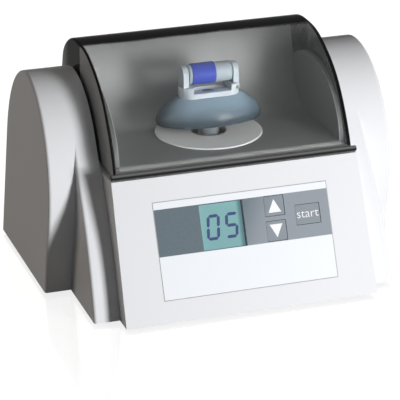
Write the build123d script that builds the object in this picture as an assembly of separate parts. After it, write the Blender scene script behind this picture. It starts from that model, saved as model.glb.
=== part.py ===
from build123d import *
import os
from math import acos, asin, atan2, cos, degrees, hypot, pi, radians, sin, tan

# A bench-top dental amalgamator: a moulded casing with a leaning control panel, a smoky
# hinged hood over the mixing chamber, and a motor whose skewed journal rocks the capsule head.
#
# Drawn in millimetres with X to the right, Y from the front bottom edge towards the back and
# Z up from the casing's bottom edge. When written, the pieces are set on their feet with the
# origin under the middle of the casing.

# ---- casing outside ----
CASE_DEPTH = 192.0
CASE_WALL = 3.0
FOOT_HEIGHT = 2.5
EDGE_ROUND = 2.0
SOFT_EDGE = 1.0

# The crown of both cheeks is half an ellipse, flatter in front than behind.
ARCH_Y = 126.0
ARCH_Z = 68.0
ARCH_FRONT = 62.0
ARCH_REAR = 54.0
ARCH_RISE = 73.5

WING_HALF = 126.07
WING_DRAFT = 0.029
WING_TOE_Y = 73.0
WING_FLANK = (69.5, 30.0)

RIB_HALF = 107.73
RIB_DRAFT = 0.036
RIB_TOE_Y = 15.2
RIB_CURVE = ((26.6, 27.4), (38.7, 51.3), (53.0, 74.3))
RIB_BLEND_ANGLE = 33.0

BODY_HALF = 90.0
BODY_DRAFT = 0.027
PANEL_LEAN = 23.64
SHELF_Z = 89.5
WELL_HALF = 88.0
REAR_LIP_Y = 172.8
REAR_LIP_RISE = 3.3

# ---- base tray, screws and feet ----
TRAY_GAP = 0.2
TRAY_THICK = 2.5
TRAY_BOSS_RISE = 2.5
TRAY_BOSS_D = 12.0
CASE_SCREW_AT = ((RIB_HALF - 7.33, 42.0), (WING_HALF - 6.27, CASE_DEPTH - 24.0))
CASE_SCREW_BOSS_D = 9.0
CASE_SCREW_BOSS_TOP = 30.0
CASE_SCREW_D = 3.0
CASE_SCREW_HEAD_D = 6.0
CASE_SCREW_HEAD = 1.8
CASE_SCREW_LENGTH = 16.0
SCREW_GAP = 0.05
FOOT_D = 16.0
FOOT_SEAT = 1.2
FOOT_AT = ((BODY_HALF - 14.0, 20.0), (WING_HALF - 22.07, CASE_DEPTH - 16.0))

# ---- control panel ----
FOIL_WIDTH = 124.3
FOIL_HEIGHT = 66.2
FOIL_U = 0.55
FOIL_V = 48.1
FOIL_THICK = 0.6
FOIL_SEAT = 0.5
FOIL_GAP = 0.2
WINDOW_WIDTH = 30.9
WINDOW_HEIGHT = 31.2
WINDOW_INSET = 47.3
WINDOW_V = 60.0
PANE_THICK = 1.5
PANE_GAP = 0.1
LCD_GAP = 0.1
LCD_FLANGE = 2.0
KEY_CORNER = 0.6
KEY_GAP = 0.3
KEY_SINK = 0.25
KEY_TRAVEL = 0.7
KEY_FLANGE = 0.8
KEY_FLANGE_THICK = 1.0
KEY_FLANGE_GAP = 0.1
KEY_STEM_D = 4.0
KEY_INSETS = {
    "up_key": (39.2, 68.8, 14.4, 14.0),
    "down_key": (39.5, 51.8, 14.4, 14.0),
    "start_key": (15.9, 60.4, 17.8, 14.0),
}
SWITCH_SIDE = 6.0
SWITCH_HEIGHT = 3.5
SWITCH_CAN_HEIGHT = 2.6
PLUNGER_D = 3.4
PLUNGER_GAP = 0.1
BOARD_THICK = 1.6
BOARD_INSET = 4.15
BOARD_HEIGHT = 60.0
BOARD_DEPTH = 9.5
STANDOFF_D = 6.0
STANDOFF_INSET = 4.5
BOARD_SCREW_D = 2.4
BOARD_SCREW_HEAD_D = 4.6
BOARD_SCREW_HEAD = 1.4
BOARD_SCREW_LENGTH = 7.0
PROCESSOR = (14.0, 14.0, 2.0)
PROCESSOR_OFF = (-20.0, -8.0)
PLUG_HEADER = (20.0, 6.0, 7.0)
PLUG_HEADER_OFF = (30.0, -20.0)

# ---- hood ----
LID_SIDE_GAP = 1.6
LID_DRAFT = 0.013
LID_WALL = 2.5
LID_EDGE_Z = 91.5
LID_FRONT_CURVE = ((41.6, 91.5), (54.2, 117.4), (73.3, 139.9), (99.8, 154.8))
LID_CROWN = (128.0, 159.0)
LID_SHOULDER_CURVE = ((149.5, 155.0), (163.6, 144.5), (169.0, 128.9))
LID_REAR_FOOT = (175.1, 96.4)
LID_MIDDLE = (118.0, 96.0)
LID_EDGE_ROUND = 1.8
GRIP_BAR_D = 4.0
GRIP_BAR_HALF = 87.4
GRIP_BAR_Y = 40.1
GRIP_BAR_Z = 92.3

HINGE_Y = 164.0
HINGE_Z = 106.0
LID_HEEL_R = 14.5
HINGE_PIN_D = 5.0
HINGE_RUN = 0.03
LID_BOSS_D = 12.0
LID_BOSS_DEPTH = 3.4
CHEEK_BOSS_D = 12.0
CHEEK_BOSS_DEPTH = 3.5

# ---- hood switch ----
CAM_D = 7.8
CAM_THICK = 4.0
CAM_LOBE = 3.0
CAM_SIDE_GAP = 0.4
CAM_LEVER_GAP = 0.4
LID_SWITCH_SIZE = (6.4, 20.0, 10.0)
LEVER_THICK = 0.6
LEVER_WIDTH = 3.0
LEVER_POST = 2.0

# ---- mixing chamber ----
LINER_SIDE_GAP = 2.1
LINER_WALL = 3.0
LINER_FRONT_Y = 47.0
DECK_Z = 95.5
DECK_EDGE_R = 3.0
BACK_FOOT_Y = 129.4
BACK_TOP = (147.0, 150.5)
BACK_FILLET = 30.0
INNER_ARCH_Y = 106.0
INNER_ARCH_Z = 90.0
INNER_ARCH_FRONT = 57.0
INNER_ARCH_RISE = 49.0

HEAD_Y = 97.0
DISC_D = 75.0
DISC_THICK = 2.4
DISC_PROUD = 0.6
DISC_GAP = 0.3
ARM_HOLE_D = 25.0

# ---- drive ----
SHAFT_Z = 54.0
SHAFT_D = 8.0
SHAFT_RUN = 0.03
SHAFT_LEFT = -99.0
SHAFT_RIGHT = 38.0
SKEW_ANGLE = 6.0
JOURNAL_D = 20.0
JOURNAL_HALF = 13.0
FIT_GAP = 0.02

MOTOR_D = 60.0
MOTOR_SKIN = 1.5
MOTOR_LEFT = -95.0
MOTOR_RIGHT = -29.0
END_CAP_THICK = 9.0
STATOR_BORE = 34.0
STATOR_HALF_LENGTH = 20.0
AIR_GAP = 0.5
SMALL_BEARING_D = 22.0
SMALL_BEARING_WIDTH = 7.0

HUB_BEARING_D = 37.0
HUB_BEARING_WIDTH = 9.0
RACE_STEP = 2.2
BALL_GAP = 0.05
BALLS = 8
BEARING_SPACE = 1.0
HUB_RING = 5.0
HUB_LENGTH = 21.0
HUB_LIP = 1.0
STEM_D = 14.0
NECK_D = 19.6
STEM_TOP_Z = 118.0
SPIGOT_D = 9.0
GUIDE_PIN_D = 5.0
GUIDE_PIN_REACH = 36.0
GUIDE_PIN_RUN = 0.35
GUIDE_BLOCK = (30.0, 16.0, 10.0)
GUIDE_END_ROOM = 1.0

FRAME_Z = 12.0
FRAME_THICK = 4.0
FRAME_WIDTH = 74.0
FRAME_LEFT = -92.0
FRAME_RIGHT = 42.0
SADDLE_THICK = 8.0
SADDLE_AT = (-71.0, -43.0)
SADDLE_GAP = 0.1
STRAP_THICK = 1.6
STRAP_LUG = 9.0
OUTBOARD_X = 30.5
OUTBOARD_PLATE = 9.0
OUTBOARD_RING = 5.0
ISOLATOR_D = 14.0
ISOLATOR_INSET = 9.0
ISOLATOR_SCREW_D = 4.0
ISOLATOR_SCREW_HEAD_D = 8.0
ISOLATOR_SCREW_HEAD = 2.4
ISOLATOR_SCREW_LENGTH = 12.0
COUNTERWEIGHT_R = 17.0
COUNTERWEIGHT_THICK = 4.0

# ---- capsule head ----
BOOT_WALL = 2.5
BOOT_RATIO = 0.47
BOOT_RINGS = (
    (36.6, 103.8),
    (37.9, 106.2),
    (36.9, 110.0),
    (33.6, 114.6),
    (28.4, 119.0),
    (23.0, 122.6),
)
BOOT_FOOT_D = 16.0
HOLDER_LENGTH = 43.4
HOLDER_WIDTH = 19.0
HOLDER_TOP_Z = 130.4
HOLDER_SCOOP_HALF = 13.6
HOLDER_SCOOP_Z = 126.2
HOLDER_POCKET = (25.0, 10.6, 2.0)
CAPSULE_Z = 137.5
CAPSULE_D = 13.4
CAPSULE_HALF = 15.5
NOSE_D = 7.0
NOSE_TIP_D = 4.0
NOSE_LENGTH = 2.4
BAND_D = 14.6
BAND_LEFT = -13.4
BAND_RIGHT = 3.6
PRONG_GAP = 0.6
PRONG_THICK = 3.8
PRONG_R = 6.2
CUP_D = 8.2
CUP_DEPTH = 2.3
PIVOT_X = 18.4
PIVOT_Z = 127.6
PIVOT_D = 2.5
PIVOT_BITE = 2.0
KNUCKLE_R = 2.8
KNUCKLE_LEFT = -5.0
KNUCKLE_RIGHT = 1.0
PRONG_SLOT_HALF = 5.4
PRONG_RUN = 0.35
PRONG_FOOT_Z = 132.2
WEB_INSET = 0.4
WEB_REACH = 2.0
SPRING_WIRE = 0.7
SPRING_R = 2.2
SPRING_PITCH = 1.15
SPRING_TURNS = 3

# ---- mains side ----
NICHE_LEFT = -36.0
NICHE_RIGHT = 34.0
NICHE_LOW = 9.0
NICHE_HIGH = 52.0
NICHE_SHALLOW = 1.77
INLET_X = -17.0
INLET_Z = 30.5
INLET_FLANGE = (31.0, 38.0, 2.0)
INLET_BODY = (27.4, 34.0, 22.0)
INLET_MOUTH = (24.4, 16.8, 16.5)
INLET_MOUTH_RISE = 6.6
INLET_PIN = (2.0, 4.0)
INLET_PIN_SPACING = 7.0
INLET_PIN_SINK = 5.5
INLET_PIN_STEP = 2.0
DRAWER = (20.0, 8.6, 17.0)
DRAWER_DROP = -10.4
DRAWER_GAP = 0.3
FUSE_D = 5.0
FUSE_LENGTH = 14.0
ROCKER_X = 18.0
ROCKER_FRAME = (21.0, 27.0, 2.0)
ROCKER_BODY = (18.6, 24.6, 16.0)
ROCKER_KEY = (15.0, 21.0)
ROCKER_R = 13.0
ROCKER_PIVOT_DEPTH = 5.0
ROCKER_SWING = 16.0
ROCKER_GAP = 0.4
ROCKER_PROUD = 1.5
ROCKER_DISH = 1.2
ROCKER_BACK = 3.0
ROCKER_PIN_D = 2.0
CUTOUT_GAP = 0.15

POWER_BOARD = (44.0, 84.0)
POWER_BOARD_AT = (RIB_HALF - 31.73, 104.0)
POWER_BOARD_Z = 9.0
PEG_D = 6.0
PEG_INSET = 5.0
HEAT_SINK = (4.0, 22.0, 24.0)
HEAT_SINK_OFF = (-17.0, 19.0)
POWER_PLUG = (12.0, 8.0, 9.0)
POWER_PLUG_OFF = (12.0, 30.0)
TRANSFORMER_CORE = (30.0, 34.0, 20.8)
TRANSFORMER_COIL = (20.0, 32.0, 26.0)
TRANSFORMER_OFF = (0.0, -22.0)
CAPACITOR_D = 12.5
CAPACITOR_HEIGHT = 22.0
CAPACITORS_OFF = ((-1.5, 12.0), (13.5, 12.0))

# ---- derived places ----
FAR = 260.0
BELOW = -20.0
PANEL_SLOPE = tan(radians(PANEL_LEAN))
PANEL = Plane(
    origin=(0, 0, 0),
    x_dir=(1, 0, 0),
    z_dir=(0, -cos(radians(PANEL_LEAN)), sin(radians(PANEL_LEAN))),
)
WINDOW_U = FOIL_U - FOIL_WIDTH / 2 + WINDOW_INSET
BOARD_WIDTH = FOIL_WIDTH - 2 * BOARD_INSET
KEYS = {
    name: (FOIL_U + FOIL_WIDTH / 2 - inset, v, width, height)
    for name, (inset, v, width, height) in KEY_INSETS.items()
}
LID_HALF = WELL_HALF - LID_SIDE_GAP
LINER_HALF = LID_HALF - LID_WALL - LINER_SIDE_GAP
DISC_TOP_Z = DECK_Z + DISC_PROUD
DISC_LOW_Z = DISC_TOP_Z - DISC_THICK
REAR_ACROSS = (CASE_DEPTH - ARCH_Y) / ARCH_REAR
REAR_DOWN = ARCH_Z / ARCH_RISE
REAR_TOUCH = acos(1 / hypot(REAR_ACROSS, REAR_DOWN)) - atan2(REAR_DOWN, REAR_ACROSS)
REAR_TOUCH_Y = ARCH_Y + ARCH_REAR * cos(REAR_TOUCH)
REAR_SLOPE = (REAR_TOUCH_Y - CASE_DEPTH) / (ARCH_Z + ARCH_RISE * sin(REAR_TOUCH))
NICHE_Y = CASE_DEPTH + min(REAR_SLOPE * NICHE_LOW, REAR_SLOPE * NICHE_HIGH) - NICHE_SHALLOW
SKEW_AXIS = (cos(radians(SKEW_ANGLE)), sin(radians(SKEW_ANGLE)), 0)
JOURNAL = Plane(origin=(0, HEAD_Y, SHAFT_Z), x_dir=(0, 0, 1), z_dir=SKEW_AXIS)
BACK_LEAN = (BACK_TOP[0] - BACK_FOOT_Y) / (BACK_TOP[1] - DECK_Z)
LINER_BACK_STEP = LINER_WALL / cos(atan2(BACK_LEAN, 1))
FRAME_TOP_Z = FRAME_Z + FRAME_THICK
PRONG_INNER_X = CAPSULE_HALF + PRONG_GAP


# ---------------------------------------------------------------- helpers


def box(x0, x1, y0, y1, z0, z1):
    """A block between two corners."""
    middle = Pos((x0 + x1) / 2, (y0 + y1) / 2, (z0 + z1) / 2)
    return middle * Box(x1 - x0, y1 - y0, z1 - z0)


def post(x, y, z0, z1, diameter):
    """An upright round bar."""
    return Pos(x, y, (z0 + z1) / 2) * Cylinder(diameter / 2, z1 - z0)


def cross_bar(x0, x1, y, z, diameter):
    """A round bar along X."""
    return Pos((x0 + x1) / 2, y, z) * Rot(0, 90, 0) * Cylinder(diameter / 2, x1 - x0)


def skew_bar(s0, s1, diameter):
    """A round bar along the skewed journal, between two stations on its axis."""
    disc = JOURNAL.offset(s0) * Circle(diameter / 2)
    return extrude(disc, amount=s1 - s0)


def both_sides(piece):
    """A piece and its mirror image across the middle plane."""
    return [piece, mirror(piece, about=Plane.YZ)]


def group(pieces):
    """Separate solids that share one node."""
    return Compound([s for p in pieces for s in p.solids()])


def side_slab(profile, x0, x1):
    """A side profile, drawn in Y and Z, carried along X from x0 to x1."""
    return extrude(Plane.YZ.offset(x0) * profile, amount=x1 - x0)


def drafted_prism(profile, half_width, draft, bottom):
    """A side profile carried across, each side leaning in by draft per millimetre of height."""
    top = 2 * ARCH_RISE + ARCH_Z
    low = half_width - draft * bottom
    high = half_width - draft * top
    front_view = make_face(
        Polyline((-low, bottom), (low, bottom), (high, top), (-high, top), close=True)
    )
    wedge = extrude(Plane.XZ * front_view, amount=FAR, both=True)
    return side_slab(profile, -low, low) & wedge


def panel_block(u, v, width, height, depth_0, depth_1, corner=0.0):
    """A block square to the control panel, between two depths below its face."""
    outline = RectangleRounded(width, height, corner) if corner else Rectangle(width, height)
    return extrude(PANEL.offset(-depth_0) * Pos(u, v) * outline, amount=depth_0 - depth_1)


def panel_post(u, v, diameter, depth_0, depth_1):
    """A round bar square to the control panel, between two depths below its face."""
    return extrude(PANEL.offset(-depth_0) * Pos(u, v) * Circle(diameter / 2), amount=depth_0 - depth_1)


# ---------------------------------------------------------------- casing


def rear_outline(inset):
    """The leaning rear line and the rear quarter of the arch, which it touches."""
    reach = ARCH_REAR - inset
    rise = ARCH_RISE - inset
    foot = (CASE_DEPTH - inset, 0.0)
    across = (foot[0] - ARCH_Y) / reach
    down = ARCH_Z / rise
    touch = degrees(acos(1 / hypot(across, down)) - atan2(down, across))
    quarter = EllipticalCenterArc(
        (ARCH_Y, ARCH_Z), reach, rise, start_angle=touch, arc_size=90 - touch
    )
    return [Line((foot[0], BELOW), foot), Line(foot, quarter @ 0), quarter]


def wing_profile(inset):
    """Side view of the outer flanks: a bulging front edge, the arch and the leaning rear."""
    rear = rear_outline(inset)
    front = EllipticalCenterArc(
        (ARCH_Y, ARCH_Z), ARCH_FRONT - inset, ARCH_RISE - inset, start_angle=90, arc_size=90
    )
    toe = (WING_TOE_Y + inset, 0.0)
    flank = Spline(
        front @ 1, (WING_FLANK[0] + inset, WING_FLANK[1]), toe, tangents=[(0, -1), (0.1, -1)]
    )
    shin = Line(toe, (toe[0], BELOW))
    floor = Line((toe[0], BELOW), (CASE_DEPTH - inset, BELOW))
    return make_face([*rear, front, flank, shin, floor])


def rib_profile(inset):
    """Side view of the inner flanks, whose front sweeps up and runs out on the arch."""
    rear = rear_outline(inset)
    front = EllipticalCenterArc(
        (ARCH_Y, ARCH_Z),
        ARCH_FRONT - inset,
        ARCH_RISE - inset,
        start_angle=90,
        arc_size=90 - RIB_BLEND_ANGLE,
    )
    step = inset / cos(radians(PANEL_LEAN))
    toe = (RIB_TOE_Y + step, 0.0)
    climb = [(y + step, z) for y, z in reversed(RIB_CURVE)]
    leaving = front % 1
    sweep = Spline(front @ 1, *climb, toe, tangents=[leaving, (-0.38, -1)])
    shin = Line(toe, (toe[0], BELOW))
    floor = Line((toe[0], BELOW), (CASE_DEPTH - inset, BELOW))
    return make_face([*rear, front, sweep, shin, floor])


def body_profile(inset):
    """Side view of the middle of the casing, with the leaning control panel."""
    step = inset / cos(radians(PANEL_LEAN))
    top = SHELF_Z - inset
    return make_face(
        Polyline(
            (step, BELOW),
            (step, 0),
            (step + top * PANEL_SLOPE, top),
            (ARCH_Y, top),
            (ARCH_Y, BELOW),
            close=True,
        )
    )


def lid_well(inset):
    """The open top between the cheeks, with a low lip left standing at the back."""
    half = WELL_HALF + inset
    lip = REAR_LIP_Y + inset
    well = box(-half, half, -FAR, lip, SHELF_Z - inset, FAR)
    return well + box(-half, half, lip, FAR, SHELF_Z + REAR_LIP_RISE - inset, FAR)


def rear_niche(inset):
    """The upright recess in the back for the mains inlet and the power switch."""
    return box(
        NICHE_LEFT - inset,
        NICHE_RIGHT + inset,
        NICHE_Y - inset,
        FAR,
        NICHE_LOW - inset,
        NICHE_HIGH + inset,
    )


def rounded_flanks(prism, radius):
    """Rounds the long edges where a prism's sides meet its front, top and back."""
    reach = prism.bounding_box().max.X
    edges = [
        e
        for e in prism.edges()
        if abs(e.center().X) > reach * 0.9 and e.center().Z > 1 and e.bounding_box().size.X < reach / 4
    ]
    return fillet(edges, radius)


def casing_form(inset, bottom, edge_round=0.0):
    """The casing as a closed form, set in by inset from its outside."""
    wings = drafted_prism(wing_profile(inset), WING_HALF - inset, WING_DRAFT, bottom)
    ribs = drafted_prism(rib_profile(inset), RIB_HALF - inset, RIB_DRAFT, bottom)
    body = drafted_prism(body_profile(inset), BODY_HALF - inset, BODY_DRAFT, bottom)
    if edge_round:
        wings = rounded_flanks(wings, edge_round)
        ribs = rounded_flanks(ribs, edge_round)
    return wings + ribs + body - lid_well(inset) - rear_niche(inset)


def case_screw_places():
    """The four screws that hold the tray to the casing."""
    return [(side * x, y) for x, y in CASE_SCREW_AT for side in (-1, 1)]


def board_screw_places():
    """The four corners of the control board, in panel coordinates."""
    du = BOARD_WIDTH / 2 - STANDOFF_INSET
    dv = BOARD_HEIGHT / 2 - STANDOFF_INSET
    return [(FOIL_U + i * du, FOIL_V + j * dv) for i in (-1, 1) for j in (-1, 1)]


def upper_housing():
    """The moulded casing: one shell with the panel, cheeks, hinge bosses and screw posts."""
    shell = casing_form(0.0, 0.0, EDGE_ROUND) - casing_form(CASE_WALL, BELOW)
    boss_foot = TRAY_THICK + TRAY_BOSS_RISE
    for x, y in case_screw_places():
        shell += post(x, y, boss_foot, CASE_SCREW_BOSS_TOP, CASE_SCREW_BOSS_D)
    for u, v in board_screw_places():
        shell += panel_post(u, v, STANDOFF_D, CASE_WALL / 2, BOARD_DEPTH)
    boss_end = WELL_HALF + CASE_WALL + CHEEK_BOSS_DEPTH
    boss = cross_bar(WELL_HALF + CASE_WALL / 2, boss_end, HINGE_Y, HINGE_Z, CHEEK_BOSS_D)
    hole = cross_bar(WELL_HALF - 1, boss_end + 1, HINGE_Y, HINGE_Z, HINGE_PIN_D + 2 * HINGE_RUN)
    for part in both_sides(boss):
        shell += part
    for part in both_sides(hole):
        shell -= part
    for x, y in case_screw_places():
        shell -= post(x, y, 0, CASE_SCREW_LENGTH + 1, CASE_SCREW_D + 2 * SCREW_GAP)
    shell -= post(0, HEAD_Y, SHELF_Z - 2 * CASE_WALL, SHELF_Z + 1, ARM_HOLE_D)
    shell -= panel_block(
        FOIL_U, FOIL_V, FOIL_WIDTH + FOIL_GAP, FOIL_HEIGHT + FOIL_GAP, -1, FOIL_SEAT
    )
    through = CASE_WALL + 1
    shell -= panel_block(WINDOW_U, WINDOW_V, WINDOW_WIDTH, WINDOW_HEIGHT, 0, through)
    for u, v, width, height in KEYS.values():
        shell -= panel_block(u, v, width, height, 0, through, KEY_CORNER)
    for u, v in board_screw_places():
        pilot = BOARD_SCREW_D + 2 * SCREW_GAP
        shell -= panel_post(u, v, pilot, BOARD_DEPTH - BOARD_SCREW_LENGTH, BOARD_DEPTH + 1)
    back = NICHE_Y - CASE_WALL - 1
    width, height, _ = INLET_BODY
    shell -= box(
        INLET_X - width / 2 - CUTOUT_GAP,
        INLET_X + width / 2 + CUTOUT_GAP,
        back,
        NICHE_Y + 1,
        INLET_Z - height / 2 - CUTOUT_GAP,
        INLET_Z + height / 2 + CUTOUT_GAP,
    )
    width, height, _ = ROCKER_BODY
    shell -= box(
        ROCKER_X - width / 2 - CUTOUT_GAP,
        ROCKER_X + width / 2 + CUTOUT_GAP,
        back,
        NICHE_Y + 1,
        INLET_Z - height / 2 - CUTOUT_GAP,
        INLET_Z + height / 2 + CUTOUT_GAP,
    )
    return shell


# ---------------------------------------------------------------- tray, screws and feet


def foot_places():
    return [(side * x, y) for x, y in FOOT_AT for side in (-1, 1)]


def isolator_places():
    """The four corners of the drive frame."""
    x_places = (FRAME_LEFT + ISOLATOR_INSET, FRAME_RIGHT - ISOLATOR_INSET)
    dy = FRAME_WIDTH / 2 - ISOLATOR_INSET
    return [(x, HEAD_Y + side * dy) for x in x_places for side in (-1, 1)]


def power_board_pegs():
    dx = POWER_BOARD[0] / 2 - PEG_INSET
    dy = POWER_BOARD[1] / 2 - PEG_INSET
    x, y = POWER_BOARD_AT
    return [(x + i * dx, y + j * dy) for i in (-1, 1) for j in (-1, 1)]


def base_tray():
    """The floor of the casing, let into its skirt."""
    plate = casing_form(CASE_WALL + TRAY_GAP, BELOW) & box(-FAR, FAR, -FAR, FAR, 0, TRAY_THICK)
    for x, y in case_screw_places():
        boss = post(x, y, TRAY_THICK / 2, TRAY_THICK + TRAY_BOSS_RISE, TRAY_BOSS_D)
        plate += boss & casing_form(CASE_WALL + TRAY_GAP, BELOW)
    for x, y in power_board_pegs():
        plate += post(x, y, TRAY_THICK / 2, POWER_BOARD_Z, PEG_D)
    for x, y in case_screw_places():
        plate -= post(x, y, -1, CASE_SCREW_HEAD, CASE_SCREW_HEAD_D + 2 * SCREW_GAP)
        plate -= post(x, y, -1, TRAY_THICK + TRAY_BOSS_RISE + 1, CASE_SCREW_D + 2 * SCREW_GAP)
    for x, y in foot_places():
        plate -= post(x, y, -1, FOOT_SEAT, FOOT_D + 2 * SCREW_GAP)
    return plate


def rubber_feet():
    """Four round feet, each domed off at its lower edge and glued into a seat in the tray."""
    foot = post(0, 0, -FOOT_HEIGHT, FOOT_SEAT, FOOT_D)
    foot = fillet(foot.edges().sort_by(Axis.Z)[0], FOOT_HEIGHT / 3)
    return group([Pos(x, y) * foot for x, y in foot_places()])


def pan_screw(head_d, head, shank_d, length):
    """A screw standing on its head, with the shank up from z = 0."""
    shank = Pos(0, 0, length / 2) * Cylinder(shank_d / 2, length)
    cap = Pos(0, 0, -head / 2) * Cylinder(head_d / 2, head)
    return shank + cap


def housing_screws():
    screw = pan_screw(
        CASE_SCREW_HEAD_D, CASE_SCREW_HEAD - SCREW_GAP, CASE_SCREW_D, CASE_SCREW_LENGTH - CASE_SCREW_HEAD
    )
    return group([Pos(x, y, CASE_SCREW_HEAD) * screw for x, y in case_screw_places()])


# ---------------------------------------------------------------- control panel


def control_membrane():
    """The printed foil on the panel, cut out for the display and the three keys."""
    foil = panel_block(FOIL_U, FOIL_V, FOIL_WIDTH, FOIL_HEIGHT, FOIL_SEAT - FOIL_THICK, FOIL_SEAT)
    foil -= panel_block(WINDOW_U, WINDOW_V, WINDOW_WIDTH, WINDOW_HEIGHT, -1, 1)
    for u, v, width, height in KEYS.values():
        foil -= panel_block(u, v, width, height, -1, 1, KEY_CORNER)
    return foil


def lcd_window():
    """The clear pane over the display, flush with the foil."""
    return panel_block(
        WINDOW_U,
        WINDOW_V,
        WINDOW_WIDTH - 2 * PANE_GAP,
        WINDOW_HEIGHT - 2 * PANE_GAP,
        FOIL_SEAT - FOIL_THICK,
        FOIL_SEAT - FOIL_THICK + PANE_THICK,
    )


def lcd_module():
    """The display: its glass stands in the window, its wider body behind on the board."""
    front = FOIL_SEAT - FOIL_THICK + PANE_THICK + LCD_GAP
    inset = 2 * (PANE_GAP + LCD_GAP)
    glass = panel_block(
        WINDOW_U, WINDOW_V, WINDOW_WIDTH - inset, WINDOW_HEIGHT - inset, front, CASE_WALL + 1
    )
    body = panel_block(
        WINDOW_U,
        WINDOW_V,
        WINDOW_WIDTH + 2 * LCD_FLANGE,
        WINDOW_HEIGHT + 2 * LCD_FLANGE,
        CASE_WALL + LCD_GAP,
        BOARD_DEPTH,
    )
    return glass + body


def panel_key(u, v, width, height):
    """A key cap in its window, held behind the panel by a flange, with a stem to its switch."""
    back = CASE_WALL + KEY_FLANGE_GAP
    cap = panel_block(
        u, v, width - 2 * KEY_GAP, height - 2 * KEY_GAP, KEY_SINK, back, KEY_CORNER
    )
    flange = panel_block(
        u,
        v,
        width + 2 * KEY_FLANGE,
        height + 2 * KEY_FLANGE,
        back,
        back + KEY_FLANGE_THICK,
        KEY_CORNER,
    )
    stem = panel_post(u, v, KEY_STEM_D, back, key_stem_depth())
    return cap + flange + stem


def key_stem_depth():
    """How deep a key's stem ends, at rest."""
    return BOARD_DEPTH - SWITCH_HEIGHT - KEY_TRAVEL - PLUNGER_GAP


def key_switches():
    """One push switch on the board under each key."""
    switches = []
    for u, v, _, _ in KEYS.values():
        can = panel_block(
            u, v, SWITCH_SIDE, SWITCH_SIDE, BOARD_DEPTH - SWITCH_CAN_HEIGHT, BOARD_DEPTH
        )
        plunger = panel_post(u, v, PLUNGER_D, BOARD_DEPTH - SWITCH_HEIGHT, BOARD_DEPTH)
        switches.append(can + plunger)
    return group(switches)


def control_board():
    """The circuit board behind the panel, with its processor and plug header at the back."""
    back = BOARD_DEPTH + BOARD_THICK
    board = panel_block(FOIL_U, FOIL_V, BOARD_WIDTH, BOARD_HEIGHT, BOARD_DEPTH, back)
    for u, v in board_screw_places():
        board -= panel_post(u, v, BOARD_SCREW_D + 2 * SCREW_GAP, BOARD_DEPTH - 1, back + 1)
    for chip, (du, dv) in ((PROCESSOR, PROCESSOR_OFF), (PLUG_HEADER, PLUG_HEADER_OFF)):
        width, height, deep = chip
        board += panel_block(FOIL_U + du, FOIL_V + dv, width, height, back, back + deep)
    return board


def board_screws():
    """Four screws through the control board into the posts behind the panel."""
    screws = []
    back = BOARD_DEPTH + BOARD_THICK
    for u, v in board_screw_places():
        head = panel_post(u, v, BOARD_SCREW_HEAD_D, back, back + BOARD_SCREW_HEAD)
        tip = back - BOARD_SCREW_LENGTH
        screws.append(head + panel_post(u, v, BOARD_SCREW_D, tip, back))
    return group(screws)


# ---------------------------------------------------------------- hood


def lid_profile(inset):
    """Side view of the hood, drawn down past its edge, each point inset towards the middle."""

    def drawn_in(point):
        dy = LID_MIDDLE[0] - point[0]
        dz = LID_MIDDLE[1] - point[1]
        reach = hypot(dy, dz)
        return (point[0] + inset * dy / reach, point[1] + inset * dz / reach)

    lip, *climb = [drawn_in(point) for point in LID_FRONT_CURVE]
    crown = drawn_in(LID_CROWN)
    *fall, hip = [drawn_in(point) for point in LID_SHOULDER_CURVE]
    foot = drawn_in(LID_REAR_FOOT)
    low = LID_EDGE_Z - LID_HEEL_R
    front = Spline(lip, *climb, crown, tangents=[(0.33, 1), (1, 0)])
    shoulder = Spline(
        crown, *fall, hip, tangents=[(1, 0), (foot[0] - hip[0], foot[1] - hip[1])]
    )
    edge = Polyline(hip, foot, (foot[0], low), (lip[0], low), lip)
    return make_face([front, shoulder, *edge.edges()])


def heel_cut():
    """What is trimmed off below the hood's edge, round its heel behind the hinge."""
    below = box(-FAR, FAR, -FAR, FAR, -FAR, LID_EDGE_Z)
    behind = box(-FAR, FAR, HINGE_Y, FAR, -FAR, HINGE_Z)
    return below + (behind - cross_bar(-FAR, FAR, HINGE_Y, HINGE_Z, 2 * LID_HEEL_R))


def lid_hood():
    """The smoky clear hood: a crowned shell, open below, with a boss for each hinge pin."""
    bottom = LID_EDGE_Z - LID_HEEL_R
    outer = drafted_prism(lid_profile(0.0), LID_HALF, LID_DRAFT, bottom)
    outer = rounded_flanks(outer, LID_EDGE_ROUND)
    inner = drafted_prism(lid_profile(LID_WALL), LID_HALF - LID_WALL, LID_DRAFT, bottom)
    hood = outer - inner
    inside = LID_HALF - LID_DRAFT * HINGE_Z - LID_WALL
    boss = cross_bar(inside - LID_BOSS_DEPTH, inside + LID_WALL / 2, HINGE_Y, HINGE_Z, LID_BOSS_D)
    hole = cross_bar(inside - LID_BOSS_DEPTH - 1, LID_HALF + 1, HINGE_Y, HINGE_Z, HINGE_PIN_D)
    for part in both_sides(boss):
        hood += part
    for part in both_sides(hole):
        hood -= part
    hood -= heel_cut()
    hood -= cross_bar(-FAR, FAR, GRIP_BAR_Y, GRIP_BAR_Z, GRIP_BAR_D)
    return hood


def lid_grip_bar():
    """The round bar along the hood's front edge, by which it is lifted."""
    bar = cross_bar(-GRIP_BAR_HALF, GRIP_BAR_HALF, GRIP_BAR_Y, GRIP_BAR_Z, GRIP_BAR_D)
    return fillet(bar.edges().filter_by(GeomType.CIRCLE), SOFT_EDGE / 2)


def pin_ends():
    """Inner and outer ends of a hinge pin, from the middle of the casing."""
    inner = LID_HALF - LID_DRAFT * HINGE_Z - LID_WALL - LID_BOSS_DEPTH
    outer = WELL_HALF + CASE_WALL + CHEEK_BOSS_DEPTH + CAM_SIDE_GAP + CAM_THICK
    return inner, outer


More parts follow.
